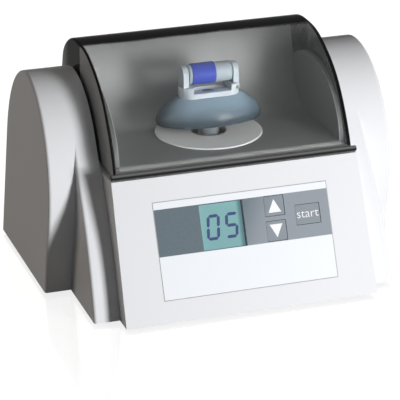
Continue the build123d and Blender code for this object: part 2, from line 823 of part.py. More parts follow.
def lid_hinge_pins():
    """Two steel pins, pressed into the hood and turning in the cheeks."""
    inner, outer = pin_ends()
    return group(both_sides(cross_bar(inner, outer, HINGE_Y, HINGE_Z, HINGE_PIN_D)))


def lid_cam():
    """The cam on the right pin that works the hood switch."""
    _, outer = pin_ends()
    disc = Circle(CAM_D / 2) + Pos(0, -CAM_LOBE) * Circle(CAM_D / 2 - CAM_LOBE / 2)
    cam = side_slab(Pos(HINGE_Y, HINGE_Z) * disc, outer - CAM_THICK, outer)
    return cam - cross_bar(outer - 2 * CAM_THICK, outer + 1, HINGE_Y, HINGE_Z, HINGE_PIN_D)


# ---------------------------------------------------------------- mixing chamber


def back_wall_y(z):
    """How far back the chamber's rear wall is at a height."""
    return BACK_FOOT_Y + BACK_LEAN * (z - DECK_Z)


def chamber_liner():
    """The chamber: a raised deck, a rear wall swept up from it, and two arched inner cheeks."""
    turn = atan2(1, BACK_LEAN)
    run = BACK_FILLET * tan(turn / 2)
    fillet_y = BACK_FOOT_Y - run
    fillet_z = DECK_Z + BACK_FILLET
    end = (
        fillet_y + BACK_FILLET * sin(turn),
        fillet_z - BACK_FILLET * cos(turn),
    )
    back_top = (BACK_TOP[0] + LINER_BACK_STEP, BACK_TOP[1])
    skirt_y = back_wall_y(DECK_Z) + LINER_BACK_STEP
    curve = Polyline(
        (LINER_FRONT_Y, SHELF_Z), (LINER_FRONT_Y, DECK_Z), (fillet_y, DECK_Z)
    )
    bend = CenterArc((fillet_y, fillet_z), BACK_FILLET, -90, degrees(turn))
    rest = Polyline(bend @ 1, BACK_TOP, back_top, (skirt_y, DECK_Z), (skirt_y, SHELF_Z), curve @ 0)
    section = make_face([*curve.edges(), bend, *rest.edges()])
    corner = section.vertices().sort_by_distance((LINER_FRONT_Y, DECK_Z))[0]
    section = fillet(corner, DECK_EDGE_R)

    inner_skirt = skirt_y - LINER_WALL
    under_r = BACK_FILLET + LINER_WALL
    under_turn = degrees(asin((inner_skirt - fillet_y) / under_r))
    under_bend = CenterArc((fillet_y, fillet_z), under_r, -90, under_turn)
    under_front = LINER_FRONT_Y + LINER_WALL
    hollow = make_face(
        [
            *Polyline(
                (under_front, SHELF_Z), (under_front, DECK_Z - LINER_WALL), under_bend @ 0
            ).edges(),
            under_bend,
            *Polyline(
                under_bend @ 1, (inner_skirt, SHELF_Z), (under_front, SHELF_Z)
            ).edges(),
        ]
    )
    inner_half = LINER_HALF - LINER_WALL
    liner = side_slab(section, -LINER_HALF, LINER_HALF)
    liner -= side_slab(hollow, -inner_half, inner_half)
    above = box(inner_half, FAR, -FAR, FAR, DECK_Z, FAR)
    for part in both_sides(above):
        liner -= part

    front_of_back = make_face(
        Polyline(
            (LINER_FRONT_Y, DECK_Z - LINER_WALL),
            (back_wall_y(DECK_Z) + LINER_BACK_STEP, DECK_Z - LINER_WALL),
            (back_wall_y(DECK_Z) + LINER_BACK_STEP, DECK_Z),
            (back_wall_y(FAR) + LINER_BACK_STEP, FAR),
            (LINER_FRONT_Y, FAR),
            close=True,
        )
    )
    arch = Pos(INNER_ARCH_Y, INNER_ARCH_Z) * Ellipse(INNER_ARCH_FRONT, INNER_ARCH_RISE)
    cheek = side_slab(arch & front_of_back, inner_half, LINER_HALF)
    for part in both_sides(cheek):
        liner += part

    cup_r = DISC_D / 2 + DISC_GAP
    drum = post(0, HEAD_Y, DISC_LOW_Z - LINER_WALL, FAR, 2 * (cup_r + LINER_WALL))
    liner += drum & side_slab(section, -LINER_HALF, LINER_HALF) & box(
        -FAR, FAR, -FAR, FAR, DISC_LOW_Z - LINER_WALL, FAR
    )
    liner -= post(0, HEAD_Y, DISC_LOW_Z, FAR, 2 * cup_r)
    liner -= post(0, HEAD_Y, 0, FAR, ARM_HOLE_D)
    return liner


def chamber_disc():
    """The pale disc let into the deck under the head, holed for the arm."""
    disc = post(0, HEAD_Y, DISC_LOW_Z, DISC_TOP_Z, DISC_D)
    disc = chamfer(disc.edges().sort_by(Axis.Z)[-1], DISC_PROUD)
    return disc - post(0, HEAD_Y, 0, FAR, ARM_HOLE_D)


# ---------------------------------------------------------------- drive


def motor_can():
    """The drawn steel can of the motor."""
    can = cross_bar(MOTOR_LEFT, MOTOR_RIGHT, HEAD_Y, SHAFT_Z, MOTOR_D)
    return can - cross_bar(
        MOTOR_LEFT - 1, MOTOR_RIGHT + 1, HEAD_Y, SHAFT_Z, MOTOR_D - 2 * MOTOR_SKIN
    )


def motor_end_caps():
    """The two ends of the motor, each holding a bearing."""
    caps = []
    for x0, x1 in (
        (MOTOR_LEFT, MOTOR_LEFT + END_CAP_THICK),
        (MOTOR_RIGHT - END_CAP_THICK, MOTOR_RIGHT),
    ):
        cap = cross_bar(x0, x1, HEAD_Y, SHAFT_Z, MOTOR_D - 2 * MOTOR_SKIN - 2 * FIT_GAP)
        middle = (x0 + x1) / 2
        half = SMALL_BEARING_WIDTH / 2
        seat = SMALL_BEARING_D + 2 * FIT_GAP
        cap -= cross_bar(middle - half - FIT_GAP, middle + half + FIT_GAP, HEAD_Y, SHAFT_Z, seat)
        cap -= cross_bar(x0 - 1, x1 + 1, HEAD_Y, SHAFT_Z, SHAFT_D + 2)
        caps.append(cap)
    return group(caps)


def small_bearing(x):
    """A narrow ball bearing on the straight shaft, drawn as one ring."""
    half = SMALL_BEARING_WIDTH / 2
    ring = cross_bar(x - half, x + half, HEAD_Y, SHAFT_Z, SMALL_BEARING_D)
    return ring - cross_bar(x - half - 1, x + half + 1, HEAD_Y, SHAFT_Z, SHAFT_D + 2 * SHAFT_RUN)


def motor_bearings():
    return group(
        [
            small_bearing(MOTOR_LEFT + END_CAP_THICK / 2),
            small_bearing(MOTOR_RIGHT - END_CAP_THICK / 2),
        ]
    )


def outboard_bearing():
    return small_bearing(OUTBOARD_X)


def motor_stator():
    """The wound stack inside the can."""
    middle = (MOTOR_LEFT + MOTOR_RIGHT) / 2
    x0 = middle - STATOR_HALF_LENGTH
    x1 = middle + STATOR_HALF_LENGTH
    stack = cross_bar(x0, x1, HEAD_Y, SHAFT_Z, MOTOR_D - 2 * MOTOR_SKIN - 2 * FIT_GAP)
    return stack - cross_bar(x0 - 1, x1 + 1, HEAD_Y, SHAFT_Z, STATOR_BORE)


def motor_rotor():
    """The rotor on the shaft, an air gap inside the stator."""
    middle = (MOTOR_LEFT + MOTOR_RIGHT) / 2
    x0 = middle - STATOR_HALF_LENGTH
    x1 = middle + STATOR_HALF_LENGTH
    rotor = cross_bar(x0, x1, HEAD_Y, SHAFT_Z, STATOR_BORE - 2 * AIR_GAP)
    return rotor - cross_bar(x0 - 1, x1 + 1, HEAD_Y, SHAFT_Z, SHAFT_D + 2 * FIT_GAP)


def drive_shaft():
    """The steel shaft through the motor, the skewed sleeve and the outboard bearing."""
    shaft = cross_bar(SHAFT_LEFT, SHAFT_RIGHT, HEAD_Y, SHAFT_Z, SHAFT_D)
    return chamfer(shaft.edges().filter_by(GeomType.CIRCLE), SOFT_EDGE / 2)


def skew_sleeve():
    """The journal, turned askew on the shaft, that makes the arm rock."""
    reach = JOURNAL_HALF + JOURNAL_D
    sleeve = skew_bar(-reach, reach, JOURNAL_D)
    sleeve &= box(-JOURNAL_HALF, JOURNAL_HALF, -FAR, FAR, -FAR, FAR)
    return sleeve - cross_bar(
        -reach, reach, HEAD_Y, SHAFT_Z, SHAFT_D + 2 * FIT_GAP
    )


def counterweight():
    """A half disc beside the sleeve that balances the rocking arm."""
    x0 = JOURNAL_HALF + SOFT_EDGE
    x1 = x0 + COUNTERWEIGHT_THICK
    disc = cross_bar(x0, x1, HEAD_Y, SHAFT_Z, 2 * COUNTERWEIGHT_R)
    disc -= box(x0 - 1, x1 + 1, -FAR, FAR, SHAFT_Z + SHAFT_D, FAR)
    return disc - cross_bar(x0 - 1, x1 + 1, HEAD_Y, SHAFT_Z, SHAFT_D + 2 * FIT_GAP)


def race(inner_d, outer_d, station):
    """One ring of a hub bearing, at a station along the journal."""
    ring = skew_bar(station, station + HUB_BEARING_WIDTH, outer_d)
    return ring - skew_bar(station - 1, station + HUB_BEARING_WIDTH + 1, inner_d)


def bearing_stations():
    """Where the two hub bearings start along the journal."""
    return (-BEARING_SPACE / 2 - HUB_BEARING_WIDTH, BEARING_SPACE / 2)


def hub_inner_races():
    inner = JOURNAL_D + 2 * FIT_GAP
    return group([race(inner, JOURNAL_D + 2 * RACE_STEP, s) for s in bearing_stations()])


def hub_outer_races():
    inner = HUB_BEARING_D - 2 * RACE_STEP
    return group([race(inner, HUB_BEARING_D, s) for s in bearing_stations()])


def hub_bearing_balls():
    """The balls between the races, eight to a bearing."""
    inner_r = JOURNAL_D / 2 + RACE_STEP
    outer_r = HUB_BEARING_D / 2 - RACE_STEP
    ball_r = (outer_r - inner_r) / 2 - BALL_GAP
    pitch_r = (outer_r + inner_r) / 2
    balls = []
    for station in bearing_stations():
        ring = JOURNAL.offset(station + HUB_BEARING_WIDTH / 2)
        for k in range(BALLS):
            turn = 2 * pi * k / BALLS
            place = ring * Pos(pitch_r * cos(turn), pitch_r * sin(turn))
            balls.append(place * Sphere(ball_r))
    return group(balls)


def arm_hub():
    """The rocking arm: a ring round the bearings, a stem up through the deck and a spigot."""
    half = HUB_LENGTH / 2
    ring_d = HUB_BEARING_D + 2 * HUB_RING
    hub = skew_bar(-half, half, ring_d)
    hub += Pos(0, HEAD_Y, SHAFT_Z) * Cone(
        NECK_D / 2, STEM_D / 2, ring_d, align=(Align.CENTER, Align.CENTER, Align.MIN)
    )
    hub += post(0, HEAD_Y, SHAFT_Z, STEM_TOP_Z, STEM_D)
    hub += post(0, HEAD_Y, SHAFT_Z, HOLDER_SCOOP_Z - HOLDER_POCKET[2], SPIGOT_D)
    seat = HUB_BEARING_D + 2 * FIT_GAP
    seat_half = BEARING_SPACE / 2 + HUB_BEARING_WIDTH
    hub -= skew_bar(-seat_half - FIT_GAP, half + 1, seat)
    hub -= skew_bar(-half - 1, half + 1, seat - 2 * HUB_LIP - RACE_STEP)
    pin_top = SHAFT_Z - HUB_BEARING_D / 2 - HUB_LIP
    hub -= post(0, HEAD_Y, SHAFT_Z - GUIDE_PIN_REACH, pin_top, GUIDE_PIN_D + 2 * FIT_GAP)
    return hub


def guide_pin():
    """The pin under the hub whose end slides in the guide block and keeps the arm upright."""
    top = SHAFT_Z - HUB_BEARING_D / 2 - HUB_LIP - FIT_GAP
    pin = post(0, HEAD_Y, SHAFT_Z - GUIDE_PIN_REACH, top, GUIDE_PIN_D)
    return chamfer(pin.edges().sort_by(Axis.Z)[0], SOFT_EDGE / 2)


def guide_block():
    """The slotted block on the drive frame that guides the pin from side to side."""
    length, width, height = GUIDE_BLOCK
    block = box(
        -length / 2,
        length / 2,
        HEAD_Y - width / 2,
        HEAD_Y + width / 2,
        FRAME_TOP_Z,
        FRAME_TOP_Z + height,
    )
    swing = (SHAFT_Z - FRAME_TOP_Z) * sin(radians(SKEW_ANGLE)) + GUIDE_END_ROOM
    slot_d = GUIDE_PIN_D + 2 * GUIDE_PIN_RUN
    slot = SlotCenterToCenter(2 * swing, slot_d)
    return block - extrude(Pos(0, HEAD_Y, FRAME_TOP_Z) * slot, amount=height + 1)


def drive_frame():
    """The cast frame: a plate, two motor saddles and the outboard bearing's upright."""
    half = FRAME_WIDTH / 2
    frame = box(FRAME_LEFT, FRAME_RIGHT, HEAD_Y - half, HEAD_Y + half, FRAME_Z, FRAME_TOP_Z)
    frame = fillet(frame.edges().filter_by(Axis.Z), 3 * SOFT_EDGE)
    motor_r = MOTOR_D / 2
    for x in SADDLE_AT:
        lug = motor_r + STRAP_LUG
        frame += box(
            x - SADDLE_THICK / 2,
            x + SADDLE_THICK / 2,
            HEAD_Y - lug + STRAP_THICK,
            HEAD_Y + lug - STRAP_THICK,
            FRAME_Z + FRAME_THICK / 2,
            SHAFT_Z,
        )
    frame -= cross_bar(
        FRAME_LEFT, MOTOR_RIGHT + FIT_GAP, HEAD_Y, SHAFT_Z, MOTOR_D + 2 * SADDLE_GAP
    )
    plate = OUTBOARD_PLATE / 2
    ring_r = SMALL_BEARING_D / 2 + OUTBOARD_RING
    upright = box(
        OUTBOARD_X - plate,
        OUTBOARD_X + plate,
        HEAD_Y - ring_r,
        HEAD_Y + ring_r,
        FRAME_Z + FRAME_THICK / 2,
        SHAFT_Z,
    )
    upright += cross_bar(OUTBOARD_X - plate, OUTBOARD_X + plate, HEAD_Y, SHAFT_Z, 2 * ring_r)
    frame += upright
    frame -= cross_bar(
        OUTBOARD_X - plate - 1,
        OUTBOARD_X + SMALL_BEARING_WIDTH / 2 + FIT_GAP,
        HEAD_Y,
        SHAFT_Z,
        SMALL_BEARING_D + 2 * FIT_GAP,
    )
    frame -= cross_bar(OUTBOARD_X, FRAME_RIGHT, HEAD_Y, SHAFT_Z, SHAFT_D + 2)
    for x, y in isolator_places():
        frame -= post(x, y, 0, FRAME_TOP_Z + 1, ISOLATOR_SCREW_D + 2 * SCREW_GAP)
    return frame


def motor_straps():
    """Two sheet straps over the motor, with a lug each side on the saddles."""
    straps = []
    outer_d = MOTOR_D + 2 * SADDLE_GAP + 2 * STRAP_THICK
    for x in SADDLE_AT:
        x0 = x - SADDLE_THICK / 2
        x1 = x + SADDLE_THICK / 2
        lug = MOTOR_D / 2 + STRAP_LUG - STRAP_THICK
        strap = cross_bar(x0, x1, HEAD_Y, SHAFT_Z, outer_d)
        strap += box(x0, x1, HEAD_Y - lug, HEAD_Y + lug, SHAFT_Z, SHAFT_Z + STRAP_THICK)
        strap -= cross_bar(x0 - 1, x1 + 1, HEAD_Y, SHAFT_Z, MOTOR_D + 2 * SADDLE_GAP)
        strap -= box(x0 - 1, x1 + 1, -FAR, FAR, -FAR, SHAFT_Z)
        straps.append(strap)
    return group(straps)


def isolators():
    """Four rubber mounts between the tray and the drive frame."""
    mounts = []
    for x, y in isolator_places():
        mount = post(x, y, TRAY_THICK, FRAME_Z, ISOLATOR_D)
        screw_hole = ISOLATOR_SCREW_D + 2 * SCREW_GAP
        mounts.append(
            mount - post(x, y, FRAME_TOP_Z - ISOLATOR_SCREW_LENGTH - 1, FRAME_Z + 1, screw_hole)
        )
    return group(mounts)


def isolator_screws():
    screw = pan_screw(
        ISOLATOR_SCREW_HEAD_D, ISOLATOR_SCREW_HEAD, ISOLATOR_SCREW_D, ISOLATOR_SCREW_LENGTH
    )
    turned = Rot(180, 0, 0) * screw
    return group([Pos(x, y, FRAME_TOP_Z) * turned for x, y in isolator_places()])


# ---------------------------------------------------------------- capsule head


def boot_form(inset):
    """The oval boot as a loft through level ellipses, set in by inset."""
    rings = []
    for half_length, z in BOOT_RINGS:
        ring = Ellipse(half_length - inset, half_length * BOOT_RATIO - inset)
        rings.append(Pos(0, HEAD_Y, z - inset) * ring)
    return loft(rings)


def head_boot():
    """The oval boot that hides the arm below the capsule holder."""
    boot = boot_form(0.0) - boot_form(BOOT_WALL)
    boot -= box(-FAR, FAR, -FAR, FAR, -FAR, BOOT_RINGS[0][1])
    top = BOOT_RINGS[-1][1]
    boot += post(0, HEAD_Y, STEM_TOP_Z, top, BOOT_FOOT_D)
    return boot - post(0, HEAD_Y, 0, FAR, SPIGOT_D + 2 * FIT_GAP)


def cup(side):
    """The round cup in a prong that takes the capsule's nose."""
    x0 = side * (PRONG_INNER_X - 1)
    x1 = side * (PRONG_INNER_X + CUP_DEPTH)
    return cross_bar(min(x0, x1), max(x0, x1), HEAD_Y, CAPSULE_Z, CUP_D)


def prong_plate(side, foot_z):
    """A prong's upright plate, rounded over the capsule's axis."""
    outline = Pos(HEAD_Y, CAPSULE_Z) * Circle(PRONG_R)
    outline += Pos(HEAD_Y, (foot_z + CAPSULE_Z) / 2) * Rectangle(2 * PRONG_R, CAPSULE_Z - foot_z)
    x0 = min(side * PRONG_INNER_X, side * (PRONG_INNER_X + PRONG_THICK))
    return side_slab(outline, x0, x0 + PRONG_THICK)


def capsule_holder():
    """The pale saddle on the arm, with a fixed prong on the left and a slot on the right."""
    foot_z = BOOT_RINGS[-1][1]
    outline = Pos(0, HEAD_Y, foot_z) * SlotOverall(HOLDER_LENGTH, HOLDER_WIDTH)
    holder = extrude(outline, amount=HOLDER_TOP_Z - foot_z)
    holder = fillet(holder.edges().group_by(Axis.Z)[-1], SOFT_EDGE)
    scoop = HOLDER_SCOOP_HALF
    holder -= box(-scoop, scoop, -FAR, FAR, HOLDER_SCOOP_Z, FAR)
    holder += prong_plate(-1, HOLDER_TOP_Z - 2 * SOFT_EDGE)
    holder -= cup(-1)
    slot_x = PRONG_INNER_X - PRONG_RUN - SOFT_EDGE
    slot_z = PIVOT_Z - KNUCKLE_R - PRONG_RUN
    holder -= box(
        slot_x, FAR, HEAD_Y - PRONG_SLOT_HALF, HEAD_Y + PRONG_SLOT_HALF, slot_z, FAR
    )
    pivot_hole = Pos(PIVOT_X, HEAD_Y, PIVOT_Z) * Rot(90, 0, 0)
    holder -= pivot_hole * Cylinder(PIVOT_D / 2 + FIT_GAP, HOLDER_WIDTH)
    long, wide, deep = HOLDER_POCKET
    pocket = Pos(0, HEAD_Y, HOLDER_SCOOP_Z - deep) * Ellipse(long / 2, wide / 2)
    holder -= extrude(pocket, amount=2 * deep)
    holder -= post(0, HEAD_Y, 0, HOLDER_SCOOP_Z, SPIGOT_D + 2 * FIT_GAP)
    return holder


def spring_prong():
    """The right prong, which swings out about its foot to let the capsule go."""
    plate = prong_plate(1, PRONG_FOOT_Z)
    y0 = HEAD_Y + KNUCKLE_LEFT
    y1 = HEAD_Y + KNUCKLE_RIGHT
    along_y = Pos(PIVOT_X, (y0 + y1) / 2, PIVOT_Z) * Rot(90, 0, 0)
    knuckle = along_y * Cylinder(KNUCKLE_R, y1 - y0)
    web = box(
        PRONG_INNER_X + WEB_INSET, PIVOT_X + WEB_REACH, y0, y1, PIVOT_Z, PRONG_FOOT_Z + SOFT_EDGE
    )
    prong = plate + knuckle + web - cup(1)
    return prong - along_y * Cylinder(PIVOT_D / 2 + HINGE_RUN, HOLDER_WIDTH)


def prong_pivot():
    """The pin that the spring prong turns on."""
    length = 2 * (PRONG_SLOT_HALF + PIVOT_BITE)
    return Pos(PIVOT_X, HEAD_Y, PIVOT_Z) * Rot(90, 0, 0) * Cylinder(PIVOT_D / 2, length)


def prong_spring():
    """The small coil beside the knuckle that closes the prong."""
    height = SPRING_PITCH * SPRING_TURNS
    path = Helix(pitch=SPRING_PITCH, height=height, radius=SPRING_R)
    start = Plane(origin=path @ 0, z_dir=path % 0)
    coil = sweep(start * Circle(SPRING_WIRE / 2), path=path, is_frenet=True)
    gap = PRONG_SLOT_HALF - KNUCKLE_RIGHT - height
    y0 = HEAD_Y + KNUCKLE_RIGHT + gap / 2
    return Pos(PIVOT_X, y0, PIVOT_Z) * Rot(-90, 0, 0) * coil


def capsule_body():
    """The capsule's pale body with a tapered nose at each end."""
    body = cross_bar(-CAPSULE_HALF, CAPSULE_HALF, HEAD_Y, CAPSULE_Z, CAPSULE_D)
    body = fillet(body.edges().filter_by(GeomType.CIRCLE), SOFT_EDGE)
    nose = Cone(
        NOSE_D / 2, NOSE_TIP_D / 2, NOSE_LENGTH, align=(Align.CENTER, Align.CENTER, Align.MIN)
    )
    right = Pos(CAPSULE_HALF, HEAD_Y, CAPSULE_Z) * Rot(0, 90, 0) * nose
    for part in both_sides(right):
        body += part
    return body


def capsule_band():
    """The blue sleeve round the capsule."""
    band = cross_bar(BAND_LEFT, BAND_RIGHT, HEAD_Y, CAPSULE_Z, BAND_D)
    band = fillet(band.edges().filter_by(GeomType.CIRCLE), SOFT_EDGE / 2)
    return band - cross_bar(
        BAND_LEFT - 1, BAND_RIGHT + 1, HEAD_Y, CAPSULE_Z, CAPSULE_D + 2 * FIT_GAP
    )


# ---------------------------------------------------------------- hood switch and mains side


def lid_microswitch():
    """The switch in the right cheek under the cam, with its lever."""
    _, pin_end = pin_ends()
    wide, deep, tall = LID_SWITCH_SIZE
    x0 = pin_end - CAM_THICK / 2 - wide / 2
    low = CAM_D / 2 - CAM_LOBE / 2 + CAM_LOBE
    lever_z = HINGE_Z - low - CAM_LEVER_GAP
    body_top = lever_z - 2 * LEVER_THICK
    body = box(x0, x0 + wide, HINGE_Y - deep, HINGE_Y, body_top - tall, body_top)
    lever_x0 = x0 + (wide - LEVER_WIDTH) / 2
    lever_x1 = lever_x0 + LEVER_WIDTH
    y0 = HINGE_Y - deep
    y1 = HINGE_Y + CAM_D / 4
    lever = box(lever_x0, lever_x1, y0, y1, lever_z - LEVER_THICK, lever_z)
    lever += box(lever_x0, lever_x1, y0, y0 + LEVER_POST, body_top, lever_z)
    return body + lever


def mains_inlet():
    """The three-pin inlet in the rear niche, with a bay below for the fuse drawer."""
    width, height, thick = INLET_FLANGE
    inlet = box(
        INLET_X - width / 2,
        INLET_X + width / 2,
        NICHE_Y,
        NICHE_Y + thick,
        INLET_Z - height / 2,
        INLET_Z + height / 2,
    )
    inlet = fillet(inlet.edges().filter_by(Axis.Y), SOFT_EDGE)
    width, height, deep = INLET_BODY
    inlet += box(
        INLET_X - width / 2,
        INLET_X + width / 2,
        NICHE_Y - deep,
        NICHE_Y,
        INLET_Z - height / 2,
        INLET_Z + height / 2,
    )
    face_y = NICHE_Y + thick
    width, height, deep = INLET_MOUTH
    mouth_z = INLET_Z + INLET_MOUTH_RISE
    mouth = Rectangle(width, height)
    mouth = chamfer(mouth.vertices().group_by(Axis.Y)[-1], height / 4)
    inlet -= extrude(
        Plane(origin=(INLET_X, face_y, mouth_z), x_dir=(-1, 0, 0), z_dir=(0, 1, 0)) * mouth,
        amount=-deep,
    )
    width, height, deep = DRAWER
    drawer_z = INLET_Z + DRAWER_DROP
    inlet -= box(
        INLET_X - width / 2 - DRAWER_GAP,
        INLET_X + width / 2 + DRAWER_GAP,
        face_y - deep - DRAWER_GAP,
        face_y + 1,
        drawer_z - height / 2 - DRAWER_GAP,
        drawer_z + height / 2 + DRAWER_GAP,
    )
    return inlet


def inlet_pins():
    """The three flat contact pins inside the inlet."""
    wide, tall = INLET_PIN
    face_y = NICHE_Y + INLET_FLANGE[2]
    floor_y = face_y - INLET_MOUTH[2]
    mouth_z = INLET_Z + INLET_MOUTH_RISE
    pins = []
    for place in (-1, 0, 1):
        x = INLET_X + place * INLET_PIN_SPACING
        z = mouth_z + (INLET_PIN_STEP if place == 0 else -INLET_PIN_STEP)
        pins.append(
            box(x - wide / 2, x + wide / 2, floor_y, face_y - INLET_PIN_SINK, z - tall / 2, z + tall / 2)
        )
    return group(pins)


def fuse_drawer():
    """The small drawer under the inlet, with a trough for each of two fuses."""
    width, height, deep = DRAWER
    face_y = NICHE_Y + INLET_FLANGE[2]
    z = INLET_Z + DRAWER_DROP
    drawer = box(
        INLET_X - width / 2, INLET_X + width / 2, face_y - deep, face_y, z - height / 2, z + height / 2
    )
    for side in (-1, 1):
        x = INLET_X + side * width / 4
        trough = FUSE_D + 2 * SCREW_GAP
        drawer -= box(
            x - trough / 2,
            x + trough / 2,
            face_y - deep + SOFT_EDGE,
            face_y - deep + SOFT_EDGE + FUSE_LENGTH + 2 * SCREW_GAP,
            z - FUSE_D / 2 - SCREW_GAP,
            z + height,
        )
    return drawer


def fuses():
    """The two glass fuses lying in the drawer."""
    width, _, deep = DRAWER
    face_y = NICHE_Y + INLET_FLANGE[2]
    z = INLET_Z + DRAWER_DROP
    y = face_y - deep + SOFT_EDGE + SCREW_GAP + FUSE_LENGTH / 2
    fuse = Rot(90, 0, 0) * Cylinder(FUSE_D / 2, FUSE_LENGTH)
    return group([Pos(INLET_X + side * width / 4, y, z) * fuse for side in (-1, 1)])


def rocker_pivot():
    """Where the power rocker turns, in Y and Z."""
    return NICHE_Y + ROCKER_FRAME[2] - ROCKER_PIVOT_DEPTH, INLET_Z


def power_switch_frame():
    """The frame of the power switch, snapped into the niche."""
    width, height, thick = ROCKER_FRAME
    frame = box(
        ROCKER_X - width / 2,
        ROCKER_X + width / 2,
        NICHE_Y,
        NICHE_Y + thick,
        INLET_Z - height / 2,
        INLET_Z + height / 2,
    )
    frame = fillet(frame.edges().filter_by(Axis.Y), SOFT_EDGE)
    width, height, deep = ROCKER_BODY
    frame += box(
        ROCKER_X - width / 2,
        ROCKER_X + width / 2,
        NICHE_Y - deep,
        NICHE_Y,
        INLET_Z - height / 2,
        INLET_Z + height / 2,
    )
    pivot_y, pivot_z = rocker_pivot()
    key_wide = ROCKER_KEY[0]
    bay = cross_bar(
        ROCKER_X - key_wide / 2 - ROCKER_GAP,
        ROCKER_X + key_wide / 2 + ROCKER_GAP,
        pivot_y,
        pivot_z,
        2 * (ROCKER_R + ROCKER_GAP),
    )
    bay &= box(
        -FAR, FAR, -FAR, FAR, INLET_Z - height / 2 + SOFT_EDGE, INLET_Z + height / 2 - SOFT_EDGE
    )
    frame -= bay
    pin = cross_bar(
        ROCKER_X - width / 2 + SOFT_EDGE / 2,
        ROCKER_X + width / 2 - SOFT_EDGE / 2,
        pivot_y,
        pivot_z,
        ROCKER_PIN_D,
    )
    return frame + pin


def power_rocker():
    """The rocker key: a slightly dished face on a round back, resting in its off position."""
    pivot_y, pivot_z = rocker_pivot()
    wide, tall = ROCKER_KEY
    swing = radians(ROCKER_SWING / 2)
    edge_y = ROCKER_PIVOT_DEPTH + ROCKER_PROUD
    high = tall / 2
    back_high = high - ROCKER_BACK
    face = ThreePointArc((edge_y, -high), (edge_y - ROCKER_DISH, 0), (edge_y, high))
    rest = Polyline(
        (edge_y, high), (-ROCKER_BACK, back_high), (-ROCKER_BACK, -back_high), (edge_y, -high)
    )
    profile = make_face([face, *rest.edges()])
    key = side_slab(profile, ROCKER_X - wide / 2, ROCKER_X + wide / 2)
    key -= cross_bar(-FAR, FAR, 0, 0, ROCKER_PIN_D + 2 * HINGE_RUN)
    return Pos(0, pivot_y, pivot_z) * Rot(degrees(swing), 0, 0) * key


def on_power_board(size, off):
    """A block standing on the supply board, its middle set off from the board's."""
    wide, deep, tall = size
    x = POWER_BOARD_AT[0] + off[0]
    y = POWER_BOARD_AT[1] + off[1]
    top = POWER_BOARD_Z + BOARD_THICK
    return box(x - wide / 2, x + wide / 2, y - deep / 2, y + deep / 2, top, top + tall)


def power_board():
    """The supply board on its pegs, with its plug and its regulator's heat sink."""
    wide, deep = POWER_BOARD
    x, y = POWER_BOARD_AT
    top = POWER_BOARD_Z + BOARD_THICK
    board = box(x - wide / 2, x + wide / 2, y - deep / 2, y + deep / 2, POWER_BOARD_Z, top)
    board += on_power_board(HEAT_SINK, HEAT_SINK_OFF)
    board += on_power_board(POWER_PLUG, POWER_PLUG_OFF)
    return board


def transformer():
    """The small transformer on the supply board: a core with the coil standing out of it."""
    core = on_power_board(TRANSFORMER_CORE, TRANSFORMER_OFF)
    return core + on_power_board(TRANSFORMER_COIL, TRANSFORMER_OFF)


def capacitors():
    """Two smoothing capacitors on the supply board."""
    x, y = POWER_BOARD_AT
    low = POWER_BOARD_Z + BOARD_THICK
    high = low + CAPACITOR_HEIGHT
    return group([post(x + dx, y + dy, low, high, CAPACITOR_D) for dx, dy in CAPACITORS_OFF])


# ---------------------------------------------------------------- writing


def nodes():
    """Every node with its piece, in the drawing's frame."""
    pieces = {
        "upper_housing": upper_housing(),
        "base_tray": base_tray(),
        "rubber_feet": rubber_feet(),
        "housing_screws": housing_screws(),
        "control_membrane": control_membrane(),
        "lcd_window": lcd_window(),
        "lcd_module": lcd_module(),
        "key_switches": key_switches(),
        "control_board": control_board(),
        "board_screws": board_screws(),
        "lid_hood": lid_hood(),
        "lid_grip_bar": lid_grip_bar(),
        "lid_hinge_pins": lid_hinge_pins(),
        "lid_cam": lid_cam(),
        "lid_microswitch": lid_microswitch(),
        "chamber_liner": chamber_liner(),
        "chamber_disc": chamber_disc(),
        "motor_can": motor_can(),
        "motor_end_caps": motor_end_caps(),
        "motor_bearings": motor_bearings(),
        "motor_stator": motor_stator(),
        "motor_rotor": motor_rotor(),
        "drive_shaft": drive_shaft(),
        "skew_sleeve": skew_sleeve(),
        "counterweight": counterweight(),
        "hub_inner_races": hub_inner_races(),
        "hub_outer_races": hub_outer_races(),
        "hub_bearing_balls": hub_bearing_balls(),
        "arm_hub": arm_hub(),
        "guide_pin": guide_pin(),
        "guide_block": guide_block(),
        "drive_frame": drive_frame(),
        "outboard_bearing": outboard_bearing(),
        "motor_straps": motor_straps(),
        "isolators": isolators(),
        "isolator_screws": isolator_screws(),
        "head_boot": head_boot(),
        "capsule_holder": capsule_holder(),
        "spring_prong": spring_prong(),
        "prong_pivot": prong_pivot(),
        "prong_spring": prong_spring(),
        "capsule_body": capsule_body(),
        "capsule_band": capsule_band(),
        "mains_inlet": mains_inlet(),
        "inlet_pins": inlet_pins(),
        "fuse_drawer": fuse_drawer(),
        "fuses": fuses(),
        "power_switch_frame": power_switch_frame(),
        "power_rocker": power_rocker(),
        "power_board": power_board(),
        "transformer": transformer(),
        "capacitors": capacitors(),
    }
    for name, place in KEYS.items():
        pieces[name] = panel_key(*place)
    return pieces


def main():
    os.makedirs("parts", exist_ok=True)
    on_its_feet = Pos(0, -CASE_DEPTH / 2, FOOT_HEIGHT)
    for name, piece in nodes().items():
        export_step(on_its_feet * piece, os.path.join("parts", name + ".step"))


main()
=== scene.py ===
"""The looks of a bench-top dental amalgamator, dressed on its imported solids.

Places and sizes that go to Blender are in metres, with +X to the right as the panel is read, +Y to
the back and +Z up. Sizes of prints, grain and zones of a finish are in millimetres.
New pieces are surfaces worked out with numpy; every finish is a procedural material.
"""

from math import cos, radians, sin

